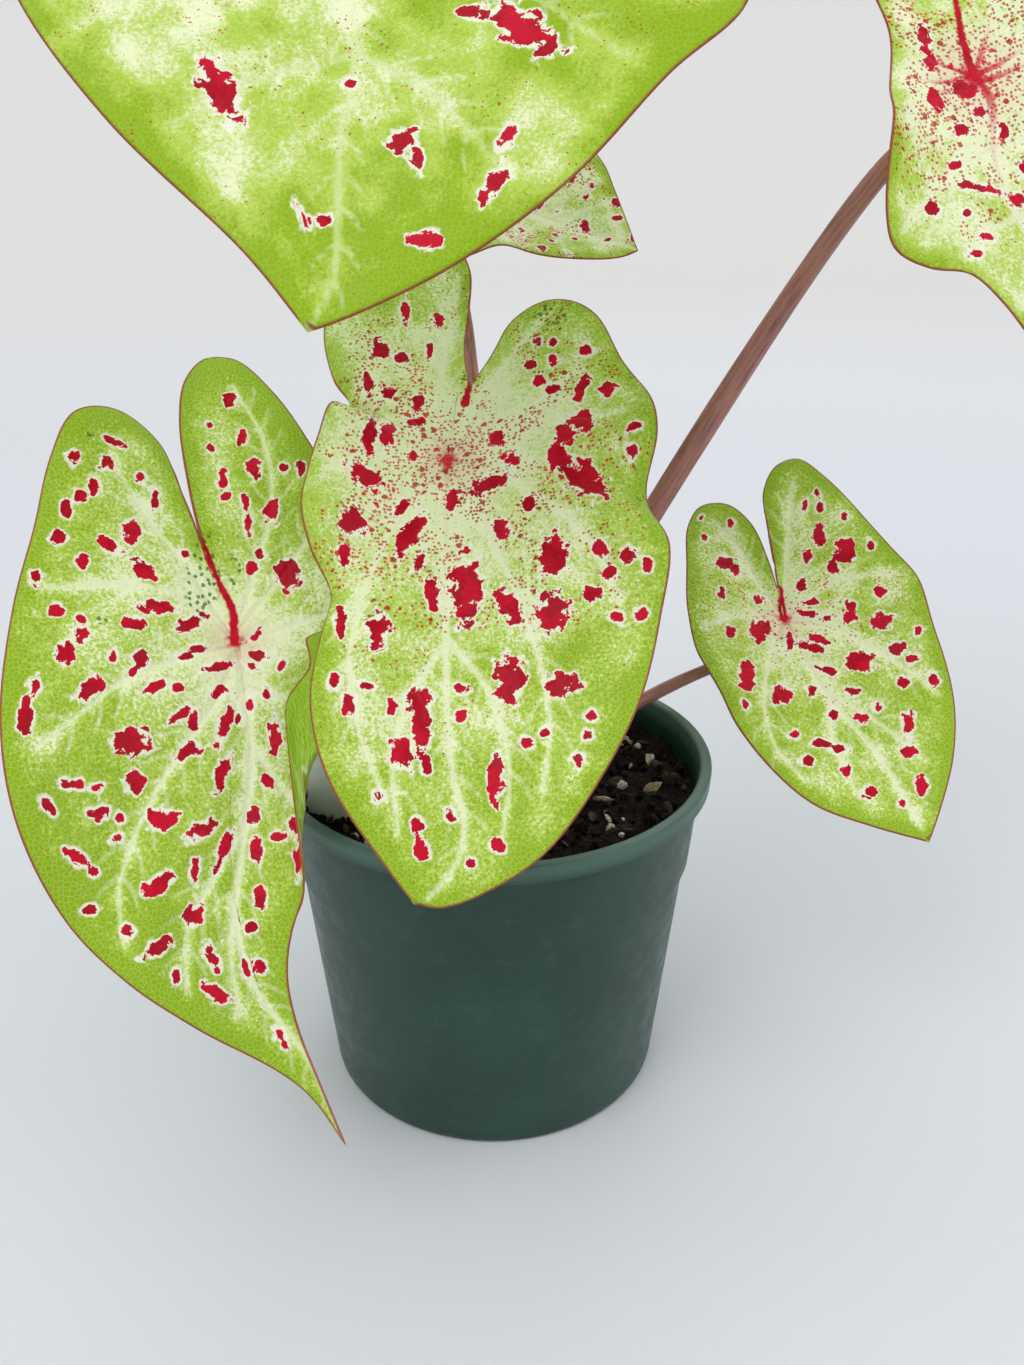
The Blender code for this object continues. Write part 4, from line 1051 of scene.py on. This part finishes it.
class Graph:
    """One material's node tree. Each method adds a node and returns its output socket."""

    def __init__(self, name, roughness, specular=0.5):
        self.material = bpy.data.materials.new(name)
        self.material.use_nodes = True
        self.tree = self.material.node_tree
        self.shader = self.tree.nodes["Principled BSDF"]
        self.shader.inputs["Roughness"].default_value = roughness
        self.shader.inputs["Specular IOR Level"].default_value = specular
        self.dimensions = "3D"

    def node(self, kind, inputs=(), **settings):
        """A node with these settings, its inputs set by name or number to a value or a socket."""
        made = self.tree.nodes.new(kind)
        for key, value in settings.items():
            setattr(made, key, value)
        for key, value in dict(inputs).items():
            self.wire(made.inputs[key], value)
        return made

    def wire(self, target, value):
        """Links a socket to the target, or sets it to a plain value or a #rrggbb colour."""
        if isinstance(value, bpy.types.NodeSocket):
            self.tree.links.new(value, target)
            return
        if isinstance(value, str):
            value = linear(value)
        target.default_value = (*value, 1.0) if target.type == "RGBA" else value

    def joined(self, operation, values):
        """The values joined from left to right by the operation."""
        total = values[0]
        for value in values[1:]:
            total = self.node("ShaderNodeMath", {0: total, 1: value}, operation=operation).outputs[0]
        return total

    def plus(self, *values):
        return self.joined("ADD", values)

    def times(self, *values):
        return self.joined("MULTIPLY", values)

    def most(self, *values):
        return self.joined("MAXIMUM", values)

    def centred(self, value):
        """A value from 0 to 1 moved to run from -0.5 to 0.5."""
        return self.plus(value, -0.5)

    def ease(self, value, low, high, start=0.0, end=1.0):
        """From start to end as the value goes from low to high, eased at both ends."""
        if low > high:
            low, high, start, end = high, low, end, start
        return self.node("ShaderNodeMapRange", {"Value": value, "From Min": low, "From Max": high,
                                                "To Min": start, "To Max": end},
                         interpolation_type="SMOOTHSTEP").outputs["Result"]

    def mix(self, share, a, b):
        """Colour a where the share is 0 and b where it is 1."""
        return self.node("ShaderNodeMix", {0: share, 6: a, 7: b}, data_type="RGBA").outputs[2]

    def value(self, name):
        """The number that the mesh holds for each vertex under this name."""
        return self.node("ShaderNodeAttribute", attribute_name=name).outputs["Fac"]

    def moved(self, place, offset):
        return self.node("ShaderNodeVectorMath", {0: place, 1: offset}, operation="ADD").outputs[0]

    def scaled(self, place, scale):
        return self.node("ShaderNodeVectorMath", {0: place, "Scale": scale}, operation="SCALE").outputs[0]

    def flat_place(self, seed):
        """The place on the flattened blade in mm, moved so that no two blades share a pattern."""
        self.dimensions = "2D"
        flat = self.node("ShaderNodeUVMap", uv_map="flat").outputs[0]
        return self.moved(self.scaled(flat, MAP_SPAN), (157.0 * seed, 91.0 * seed, 7.0 * seed))

    def object_place(self):
        """The place in the shared frame in mm."""
        return self.scaled(self.node("ShaderNodeTexCoord").outputs["Object"], 1.0 / MM)

    def noise(self, place, size, detail=2.0, roughness=0.5):
        """Soft noise from 0 to 1 whose patches are about the size given, in mm."""
        return self.node("ShaderNodeTexNoise", {"Vector": place, "Scale": 1.0 / size, "Detail": detail,
                                                "Roughness": roughness},
                         noise_dimensions=self.dimensions).outputs[0]

    def cells(self, place, size, feature="F1"):
        """A cell pattern's node, whose cells are about the size given, in mm."""
        return self.node("ShaderNodeTexVoronoi", {"Vector": place, "Scale": 1.0 / size},
                         feature=feature, voronoi_dimensions=self.dimensions)

    def toned_cells(self, place, size, channel=0):
        """How far the place is from its cell's middle, and a random number from 0 to 1 a cell."""
        cells = self.cells(place, size).outputs
        colour = self.node("ShaderNodeSeparateColor", {0: cells["Color"]})
        return cells["Distance"], colour.outputs[channel]

    def bump(self, height, depth):
        """A normal bent by the height, whose full range stands depth metres high."""
        return self.node("ShaderNodeBump", {"Height": height, "Distance": depth}).outputs["Normal"]

    def finish(self, colour, roughness=None, normal=None):
        """Wires what was made into the shader and returns the material."""
        ends = {"Base Color": colour, "Roughness": roughness, "Normal": normal}
        for name, value in ends.items():
            if value is not None:
                self.wire(self.shader.inputs[name], value)
        return self.material


def green_share(g, place, markings):
    """How green the blade is, from 0 to 1: more between veins, at the rim and towards the tip.

    The mesh's slow unevenness, a fine mottle and single cells are added to it.
    """
    vein, heart = g.value("vein"), g.value("heart")
    wobble = g.times(g.value("wobble"), 1.3)
    between = g.times(
        g.ease(g.plus(vein, wobble), -0.6, markings.band, 1.0 - 0.78 * markings.pale_veins, 1.0),
        g.ease(g.value("branch"), -0.3, 0.9, 0.74, 1.0))
    rim = g.ease(g.plus(g.value("edge"), g.times(wobble, 0.8)), markings.rim, 0.6)
    outer = g.ease(heart, 6.0, 95.0, 0.0, markings.tip)
    base = g.plus(g.times(between, g.plus(outer, markings.green + 0.14)), g.times(rim, 0.40))
    mottle = g.times(g.centred(g.noise(place, 0.85, 2.0, 0.72)), 1.3 * markings.grain)
    grain = g.times(g.centred(g.toned_cells(place, 0.42)[1]), 0.42 * markings.grain)
    uneven = g.plus(g.times(g.value("uneven"), 0.62), g.plus(mottle, grain))
    uneven = g.times(uneven, g.ease(vein, -0.8, 1.2, 0.4, 1.0))
    near = g.ease(heart, 1.0, markings.pale_heart, 0.25, 1.0)
    return g.times(g.most(g.plus(base, uneven), 0.0), near)


def splotch_masks(g, place, fine):
    """Two masks: where the crimson is, with angular edges, and the thin pale ring round it."""
    rag = g.times(g.centred(g.noise(place, 2.6, 1.0)), 1.6)
    block = g.times(g.centred(g.toned_cells(place, 1.9)[1]), 0.5)
    jag = g.plus(rag, block, g.times(fine, 0.42))
    share = g.plus(g.value("splotch"), jag)
    ring = g.ease(g.plus(g.value("halo"), g.times(jag, 1.1)), 1.0, 0.35)
    return g.ease(share, 0.12, 0.04), g.most(ring, g.ease(share, 0.50, 0.2))


def speck_mask(g, place, markings, size, offset, share, fine):
    """Crimson dots of one size, in drifts that thicken towards the junction."""
    heart = g.value("heart")
    away, tone = g.toned_cells(g.moved(place, (offset, offset, 0.0)), size, 1)
    drift = g.most(g.ease(g.value("drift"), -0.35, 0.45, 0.1, 1.0), g.ease(heart, 26.0, 7.0, 0.0, 0.9))
    near = g.ease(heart, markings.speck_reach, 4.0, 0.2, 1.0)
    chance = g.times(drift, near, markings.specks * share)
    radius = g.times(g.ease(g.plus(chance, g.plus(tone, -1.0)), -0.06, 0.4), 0.40)
    ragged = g.plus(g.times(fine, 0.34), g.times(radius, -1.0))
    return g.ease(g.plus(away, ragged), 0.03, -0.04)


def vein_colours(g, colour, markings, look, middling):
    """Pale veins over the colour, with an olive thread and crimson near the junction."""
    vein, heart = g.value("vein"), g.value("heart")
    wander = g.times(middling, 0.7)
    pale = g.times(g.ease(g.plus(vein, wander), 0.8, -0.3), 0.6 * markings.pale_veins)
    fine = g.times(g.ease(g.plus(g.value("branch"), g.times(wander, 0.6)), 0.7, 0.0), 0.30)
    colour = g.mix(g.most(pale, fine), colour, look.vein)
    thread = g.times(g.ease(vein, 0.0, -0.45), g.ease(heart, 46.0, 6.0, 0.0, 0.55))
    colour = g.mix(thread, colour, markings.vein_tint)
    rose = g.times(g.ease(vein, 0.1, -0.4), g.ease(heart, 7.0, 2.5, 0.0, 0.22))
    colour = g.mix(rose, colour, "#a8585a")
    if markings.streaks:
        streak = g.times(g.ease(g.plus(vein, wander), 0.55, -0.2), g.ease(heart, markings.streaks, 3.0))
        colour = g.mix(streak, colour, look.crimson)
    return colour


def blush_masks(g, markings, middling):
    """Two masks with frayed edges: crimson at the junction, and crimson along the seam."""
    middle = g.plus(g.value("heart"), g.times(middling, 2.6))
    seam = g.plus(g.value("seam"), g.times(middling, 0.8))
    return g.ease(middle, markings.blush, markings.blush * 0.35), g.ease(seam, 0.30, -0.25)


def fleck_mask(g, place, fine):
    """Small dark green flecks, in more than half of the cells of the flecked areas."""
    away, tone = g.toned_cells(g.moved(place, (17.0, 2.0, 0.0)), 1.5)
    dot = g.ease(g.plus(away, g.times(fine, 0.4)), 0.36, 0.26)
    return g.times(dot, g.ease(tone, 0.36, 0.44), g.ease(g.value("fleck"), 0.2, -0.1))


def blade_material(name, markings, seed, look):
    """The blade's surface: cream to lime by the green share, then veins, splotches, specks and rim.

    The underside takes the same pattern muted under a brighter green.
    """
    g = Graph(name + "_surface", look.gloss, 0.12)
    place = g.flat_place(seed)
    fine = g.centred(g.noise(place, 0.5, 1.0))
    middling = g.centred(g.noise(place, 1.3, 1.0))
    wobble = g.value("wobble")
    green = green_share(g, place, markings)
    colour = g.mix(g.ease(green, 0.02, 0.52), look.cream, look.lime)
    colour = g.mix(g.ease(green, 0.44, 1.0), colour, look.deep_lime)
    net = g.cells(g.moved(place, (3.0, 5.0, 0.0)), 1.0, "DISTANCE_TO_EDGE").outputs["Distance"]
    colour = g.mix(g.times(g.ease(net, 0.13, 0.01), 0.20 * markings.grain), colour, look.cream)
    colour = vein_colours(g, colour, markings, look, middling)
    inside, ring = splotch_masks(g, place, fine)
    colour = g.mix(g.times(ring, 0.85), colour, look.halo)
    if markings.flecks:
        colour = g.mix(g.times(fleck_mask(g, place, fine), 0.85), colour, "#3a7410")
    middle, seam = blush_masks(g, markings, middling)
    red = g.mix(g.ease(wobble, -0.5, 0.5), look.dark_crimson, look.crimson)
    pink = g.ease(g.plus(g.value("heart"), g.times(wobble, 2.0)), markings.blush * 3.6, markings.blush)
    colour = g.mix(g.times(pink, 0.30), colour, "#d58f8c")
    masks = [g.times(middle, 0.92), seam,
             g.times(speck_mask(g, place, markings, 0.9, 11.0, 1.0, fine), 0.8)]
    if markings.specks > LARGE_SPECK_DENSITY:
        masks.append(g.times(speck_mask(g, place, markings, 2.0, 31.0, 0.5, fine), 0.9))
    for mask in masks + [inside]:
        colour = g.mix(mask, colour, red)
    muted = g.mix(0.62, colour, g.mix(g.ease(green, 0.0, 0.5), "#cfe87e", "#a3cf36"))
    colour = g.mix(g.value("under"), colour, muted)
    margin = g.ease(g.value("edge"), 0.60, 0.18)
    colour = g.mix(g.times(margin, 0.85), colour, look.margin)
    rough = g.ease(wobble, -0.6, 0.6, look.gloss - 0.06, look.gloss + 0.08)
    return g.finish(colour, rough, g.bump(g.noise(place, 1.1, 0.0), 0.18 * MM))


def stalk_material(look):
    """Mauve skin with long darker streaks, small pale dots, and pinker ends."""
    g = Graph("stalk_skin", 0.42)
    run = g.value("run")

    def wrapped(turns, along):
        """A place that goes round the stalk at this radius and along it at this rate."""
        return g.node("ShaderNodeCombineXYZ", {0: g.times(g.value("round_x"), turns),
                                               1: g.times(g.value("round_y"), turns),
                                               2: g.times(run, along)}).outputs[0]

    streaks = g.noise(wrapped(2.6, 0.06), 0.9, 4.0, 0.6)
    colour = g.mix(g.ease(streaks, 0.28, 0.60), look.streak, look.mauve)
    dot_place = wrapped(3.0, 0.55)
    blotches = g.noise(dot_place, 2.4, 3.0)
    dots = g.ease(g.cells(dot_place, 0.55).outputs["Distance"], 0.30, 0.12)
    tints = [(g.ease(blotches, 0.45, 0.7), 0.5, "#a87a6c"), (dots, 0.22, "#c9a99a"),
             (g.ease(g.value("to_top"), 26.0, 2.0), 0.45, "#b3566a"),
             (g.ease(run, 34.0, 20.0), 0.55, "#c9a7a0")]
    for mask, strength, tint in tints:
        colour = g.mix(g.times(mask, strength), colour, tint)
    height = g.plus(g.times(streaks, 0.7), g.times(blotches, 0.3))
    return g.finish(colour, g.ease(blotches, 0.2, 0.8, 0.36, 0.5), g.bump(height, 0.25 * MM))


def pot_material(look):
    """Moulded green plastic: slow tone changes, fine drawn lines round it, light dust and specks, and a
    painted highlight along the top of the rim.
    """
    g = Graph("pot_plastic", look.gloss, 0.35)
    place = g.object_place()
    height = g.node("ShaderNodeSeparateXYZ", {0: place}).outputs[2]
    stretched = g.node("ShaderNodeVectorMath", {0: place, 1: (1.0, 1.0, 14.0)}, operation="MULTIPLY")
    lines = g.noise(stretched.outputs[0], 9.0, 3.0, 0.6)
    worn = g.noise(place, 5.0, 3.0, 0.65)
    away, tone = g.toned_cells(place, 3.2)
    speck = g.times(g.ease(away, 0.16, 0.05), g.ease(tone, 0.9, 0.94))
    colour = g.mix(g.ease(g.noise(place, 26.0, 1.0), 0.3, 0.7), look.dark, look.green)
    # Painted highlight: the top few millimetres of the pot, the rim, are lightened towards the rim colour;
    # the same colour faintly tints the drawn lines.
    tints = [(g.ease(height, 82.5, 86.5), 0.5, look.rim), (g.ease(lines, 0.5, 0.75), 0.06, look.rim),
             (g.ease(worn, 0.52, 0.75), 0.06, "#8b9a90"), (speck, 0.5, "#16241f")]
    for mask, strength, tint in tints:
        colour = g.mix(g.times(mask, strength), colour, tint)
    rough = g.ease(worn, 0.25, 0.75, look.gloss - 0.07, look.gloss + 0.10)
    return g.finish(colour, rough, g.bump(lines, 0.05 * MM))


def mix_material(look, name="mix_surface", lift=0.0):
    """Moist peat: dark crumbs of several browns with tan fibres, and painted shade darkening the deep
    hollows between the crumbs.
    """
    g = Graph(name, 0.85, 0.15)
    place = g.object_place()
    away, tone = g.toned_cells(place, 1.7)
    colour = g.mix(g.ease(tone, 0.15, 0.9), look.dark, look.brown)
    tan = g.times(g.ease(g.noise(place, 1.1, 4.0, 0.7), 0.60, 0.74), 0.55 + lift)
    colour = g.mix(tan, colour, look.tan)
    shaded_gaps = g.ease(away, 0.35, 0.75)
    # Painted shade: the low edges of the cells, between the crumbs, are darkened almost to black.
    colour = g.mix(g.times(shaded_gaps, 0.6), colour, "#070504")
    height = g.plus(g.times(g.noise(place, 0.8, 5.0, 0.65), 0.6), g.times(shaded_gaps, -0.4))
    return g.finish(colour, g.ease(tone, 0.0, 1.0, 0.6, 0.95), g.bump(height, 0.9 * MM))


def grain_material(name, pale, dark, size, depth, roughness):
    """A pitted, uneven surface between two colours, with painted shade in the pits, for the bits in the
    mix.
    """
    g = Graph(name, roughness)
    place = g.object_place()
    patches = g.noise(place, size, 4.0, 0.65)
    shaded_pits = g.ease(g.cells(place, size * 0.45).outputs["Distance"], 0.1, 0.5)
    colour = g.mix(g.ease(patches, 0.35, 0.65), dark, pale)
    # Painted shade: the bottoms of the pits, where the bump is lowest, are darkened towards the dark
    # colour.
    colour = g.mix(g.times(g.ease(shaded_pits, 0.4, 0.0), 0.35), colour, dark)
    return g.finish(colour, g.ease(patches, 0.3, 0.7, roughness - 0.1, roughness), g.bump(shaded_pits, depth))


def stage_material(look):
    """Matte pale paper, with painted shade and light: darker on the floor round the pot and lighter up the
    wall.
    """
    g = Graph("stage_paper", 0.7)
    # Painted shade and light: the floor colour near the middle fades into the lighter wall colour far out.
    away = g.node("ShaderNodeVectorMath", {0: g.object_place()}, operation="LENGTH").outputs["Value"]
    return g.finish(g.mix(g.ease(away, 500.0, 2300.0), look.floor, look.wall))


def colour_setting(name, text, description):
    """A colour property whose default is the colour written."""
    return FloatVectorProperty(name=name, description=description, default=linear(text), size=3,
                               subtype="COLOR", min=0.0, max=1.0)


def length_setting(name, default, description):
    """A length property in metres."""
    return FloatProperty(name=name, description=description, default=default, min=0.0, unit="LENGTH",
                         precision=5)


def share_setting(name, default, description):
    """A property from 0 to 1."""
    return FloatProperty(name=name, description=description, default=default, min=0.0, max=1.0,
                         subtype="FACTOR")


def power_setting(name, default, description):
    """The power of a light in watts."""
    return FloatProperty(name=name, description=description, default=default, min=0.0, subtype="POWER")


def count_setting(name, default, least, description):
    """A whole number that is at least the least."""
    return IntProperty(name=name, description=description, default=default, min=least)


class LeafLook(bpy.types.PropertyGroup):
    """Colours and relief that all blades share."""

    cream: colour_setting("Cream", "#e8efc4", "Colour of the pale zones")
    lime: colour_setting("Lime", "#b2ce4f", "Colour of the green zones")
    deep_lime: colour_setting("Deep lime", "#8cb00a", "Colour of the greenest zones")
    vein: colour_setting("Vein", "#e8edcb", "Colour of the veins")
    halo: colour_setting("Halo", "#f2efe0", "Colour of the ring round a splotch")
    crimson: colour_setting("Crimson", "#c40a2c", "Brighter colour of the splotches")
    dark_crimson: colour_setting("Dark crimson", "#a80420", "Darker colour of the splotches")
    margin: colour_setting("Margin", "#95283b", "Colour of the thin line at the margin")
    thickness: length_setting("Thickness", 0.5 * MM, "Thickness of a blade")
    quilt: length_setting("Quilt", 0.55 * MM, "How far a blade bulges between veins")
    groove: length_setting("Groove", 0.3 * MM, "How deep the veins lie")
    gloss: share_setting("Roughness", 0.42, "Mean roughness of a blade")


class StalkLook(bpy.types.PropertyGroup):
    """Colours and fineness of the petioles."""

    mauve: colour_setting("Mauve", "#ab7168", "Main colour of a petiole")
    streak: colour_setting("Streak", "#74454a", "Colour of its streaks")
    stalk_steps: count_setting("Steps", 150, 20, "Rings along a petiole")
    stalk_sides: count_setting("Sides", 32, 8, "Points round a petiole")


class PotLook(bpy.types.PropertyGroup):
    """Colours and fineness of the pot."""

    green: colour_setting("Green", "#1f4337", "Main colour of the plastic")
    dark: colour_setting("Dark green", "#1a3a2f", "Darker colour of the plastic")
    # Painted highlight: this lighter green is laid along the top of the rim, and faintly on the drawn
    # lines; it is not wear.
    rim: colour_setting("Rim green", "#5c7d72", "Colour of the worn rim")
    sectors: count_setting("Sectors", 240, 24, "Points round the pot")
    gloss: share_setting("Roughness", 0.38, "Mean roughness of the plastic")


class MixLook(bpy.types.PropertyGroup):
    """Colours and amounts of the potting mix."""

    dark: colour_setting("Dark", "#0d0805", "Darkest crumbs")
    brown: colour_setting("Brown", "#24170f", "Lighter crumbs")
    tan: colour_setting("Tan", "#6a4a30", "Fibres and fresh bark")
    around: count_setting("Sectors", 220, 24, "Points round the mix")
    rings: count_setting("Rings", 74, 8, "Rings across the mix")
    perlite: count_setting("Perlite", 105, 0, "White grains")
    bark: count_setting("Bark", 170, 0, "Bark chips")
    slivers: count_setting("Slivers", 16, 0, "Pale slivers of bark")
    crumbs: count_setting("Crumbs", 650, 0, "Loose dark crumbs")
    seed: count_setting("Seed", 11, 0, "Number that sets where the bits lie")


class StageLook(bpy.types.PropertyGroup):
    """The floor, the lights and the camera."""

    # The floor and wall are one paper; their two colours are painted shade on the floor and painted light
    # up the wall.
    floor: colour_setting("Floor", "#d6dae0", "Colour of the floor")
    wall: colour_setting("Wall", "#f0f0ef", "Colour of the wall")
    sky: FloatProperty(name="Sky", description="Strength of the light from all round", default=0.95,
                       min=0.0)
    key: power_setting("Key", 7.0, "Power of the large light at the front left")
    fill: power_setting("Fill", 2.5, "Power of the light at the right")
    back: power_setting("Back", 2.0, "Power of the light behind")
    camera: FloatVectorProperty(name="Camera", description="Where the camera stands", subtype="TRANSLATION",
                                size=3, default=(0.0049, -0.2706, 0.2272))
    pitch: FloatProperty(name="Pitch", description="How far the camera looks down", subtype="ANGLE",
                         default=float(np.radians(24.0)))
    lens: FloatProperty(name="Lens", description="Focal length on a 36 mm frame", default=31.65,
                        min=1.0, unit="CAMERA")


class CALADIUM_OT_blades(bpy.types.Operator):
    """Builds the six leaf blades with their veins and markings"""

    bl_idname = "caladium.build_blades"
    bl_label = "Build blades"

    def execute(self, context):
        for number, leaf in enumerate(LEAVES):
            blade(leaf, number + 1, context.scene.caladium_leaf)
        return {"FINISHED"}


class CALADIUM_OT_petioles(bpy.types.Operator):
    """Builds the petioles that carry the blades"""

    bl_idname = "caladium.build_petioles"
    bl_label = "Build petioles"

    def execute(self, context):
        look = context.scene.caladium_stalk
        material = stalk_material(look)
        for leaf in LEAVES:
            petiole(leaf, material, look)
        return {"FINISHED"}


class CALADIUM_OT_pot(bpy.types.Operator):
    """Builds the nursery pot with its collar, rim and drain holes"""

    bl_idname = "caladium.build_pot"
    bl_label = "Build pot"

    def execute(self, context):
        look = context.scene.caladium_pot
        profile = pot_profile()
        tips = [(0.0, 0.0, height) for height in profile[[0, -1], 1]]
        made = put_tube("nursery_pot", turned(profile[1:-1], look.sectors), tips, 40.0)
        cut_out(made, drain_cutter())
        finish_piece(made, pot_material(look), "pot_green", "pot")
        return {"FINISHED"}


class CALADIUM_OT_mix(bpy.types.Operator):
    """Builds the potting mix and the bits that lie on it"""

    bl_idname = "caladium.build_mix"
    bl_label = "Build potting mix"

    def execute(self, context):
        look = context.scene.caladium_mix
        potting_mix(mix_material(look), look)
        white = grain_material("perlite_grain", "#ece6dc", "#a99c8d", 1.1, 0.4 * MM, 0.85)
        bark = grain_material("bark_grain", "#4a3020", "#1c110b", 1.3, 0.5 * MM, 0.8)
        pale = grain_material("pale_bark_grain", "#d9cdb0", "#8f7a55", 1.6, 0.4 * MM, 0.8)
        crumb = mix_material(look, "crumb_surface", 0.2)
        bits = [("perlite", white, look.perlite, (1.0, 3.9), (1.0, 0.85, 0.75), 0.2, 0.22, 0),
                ("bark_chips", bark, look.bark, (2.0, 6.0), (1.0, 0.5, 0.26), 0.22, 0.35, 1),
                ("pale_chips", pale, look.slivers, (3.0, 6.6), (1.0, 0.42, 0.24), 0.2, 0.15, 3),
                ("loose_crumbs", crumb, look.crumbs, (0.8, 2.8), (1.0, 0.8, 0.7), 0.25, 0.3, 2)]
        for name, material, count, sizes, squash, roughness, sunk, number in bits:
            made = scattered(name, count, sizes, squash, roughness, sunk, look.seed + number)
            finish_piece(made, material, "soil_mix")
        return {"FINISHED"}


class CALADIUM_OT_label(bpy.types.Operator):
    """Builds the blank plant label"""

    bl_idname = "caladium.build_label"
    bl_label = "Build label"

    def execute(self, context):
        plant_label(grain_material("label_plastic", "#e9eaf6", "#dcdeee", 6.0, 0.02 * MM, 0.42))
        return {"FINISHED"}


class CALADIUM_OT_tuber(bpy.types.Operator):
    """Gives the buried tuber its corky skin"""

    bl_idname = "caladium.finish_tuber"
    bl_label = "Finish tuber"

    def execute(self, context):
        skin = grain_material("tuber_skin", "#8a6a4a", "#4a3323", 3.0, 0.6 * MM, 0.85)
        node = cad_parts["tuber"]
        node.data.materials.clear()
        node.data.materials.append(skin)
        return {"FINISHED"}


def area_light(name, power, size, place, target, colour):
    """A square light at this place that faces the target."""
    data = bpy.data.lights.new(name, "AREA")
    data.energy = power
    data.size = size
    data.color = colour
    made = put_object(name, data)
    made.location = place
    away = np.array(target, float) - np.array(place, float)
    level = np.hypot(away[0], away[1])
    made.rotation_euler = (np.arctan2(level, -away[2]), 0.0, np.arctan2(-away[0], away[1]))


def backdrop(material):
    """A round floor whose edge sweeps up into a wall, as one thin surface of revolution."""
    turn = np.linspace(0.0, np.pi / 2, 16)
    sweep = SWEEP_RADIUS * np.column_stack([np.sin(turn), 1.0 - np.cos(turn)]) + (FLOOR_RADIUS, 0.0)
    profile = np.concatenate([[[0.6, 0.0]], sweep, [[3.1, 2.4]]])
    points = np.concatenate([[[0.0, 0.0, 0.0]], turned(profile, BACKDROP_SECTORS).reshape(-1, 3)])
    made = put_mesh("backdrop", points, *sheet_faces(len(profile), BACKDROP_SECTORS))
    made.data.materials.append(material)


class CALADIUM_OT_stage(bpy.types.Operator):
    """Builds the pale floor and backdrop, the soft lights and the camera"""

    bl_idname = "caladium.build_stage"
    bl_label = "Build stage"

    def execute(self, context):
        look = context.scene.caladium_stage
        backdrop(stage_material(look))
        world = bpy.data.worlds.new("soft_sky")
        world.use_nodes = True
        sky = world.node_tree.nodes["Background"]
        sky.inputs["Color"].default_value = (0.99, 0.99, 1.0, 1.0)
        sky.inputs["Strength"].default_value = look.sky
        context.scene.world = world
        area_light("key_light", look.key, 0.9, (-0.7, -0.8, 1.3), (0.0, 0.0, 0.12), (1.0, 0.99, 0.97))
        area_light("fill_light", look.fill, 0.9, (1.1, -0.5, 0.8), (0.0, 0.0, 0.12), (0.97, 0.98, 1.0))
        area_light("back_light", look.back, 0.8, (0.3, 1.1, 1.1), (0.0, 0.0, 0.15), (1.0, 1.0, 1.0))
        data = bpy.data.cameras.new("camera")
        data.lens = look.lens
        data.sensor_width = 36.0
        data.clip_start = 0.01
        data.clip_end = 30.0
        camera = put_object("camera", data)
        camera.location = look.camera
        camera.rotation_euler = (np.pi / 2 - look.pitch, 0.0, 0.0)
        context.scene.camera = camera
        context.scene.view_settings.view_transform = "Standard"
        return {"FINISHED"}


class CALADIUM_PT_panel(bpy.types.Panel):
    """Lists the steps that build the caladium"""

    bl_idname = "CALADIUM_PT_panel"
    bl_label = "Potted caladium"
    bl_space_type = "VIEW_3D"
    bl_region_type = "UI"
    bl_category = "Caladium"

    def draw(self, context):
        for step in STEPS:
            self.layout.operator(step.bl_idname)


LOOKS = {"caladium_leaf": LeafLook, "caladium_stalk": StalkLook, "caladium_pot": PotLook,
         "caladium_mix": MixLook, "caladium_stage": StageLook}
STEPS = (CALADIUM_OT_blades, CALADIUM_OT_petioles, CALADIUM_OT_pot, CALADIUM_OT_mix, CALADIUM_OT_label,
         CALADIUM_OT_tuber, CALADIUM_OT_stage)


def register():
    for look in LOOKS.values():
        bpy.utils.register_class(look)
    for step in STEPS + (CALADIUM_PT_panel,):
        bpy.utils.register_class(step)
    for name, look in LOOKS.items():
        setattr(bpy.types.Scene, name, PointerProperty(type=look))


def unregister():
    for name in LOOKS:
        delattr(bpy.types.Scene, name)
    for step in STEPS + (CALADIUM_PT_panel,):
        bpy.utils.unregister_class(step)
    for look in LOOKS.values():
        bpy.utils.unregister_class(look)


def main():
    register()
    bpy.ops.caladium.build_blades()
    bpy.ops.caladium.build_petioles()
    bpy.ops.caladium.build_pot()
    bpy.ops.caladium.build_mix()
    bpy.ops.caladium.build_label()
    bpy.ops.caladium.finish_tuber()
    bpy.ops.caladium.build_stage()


if __name__ == "__main__":
    main()
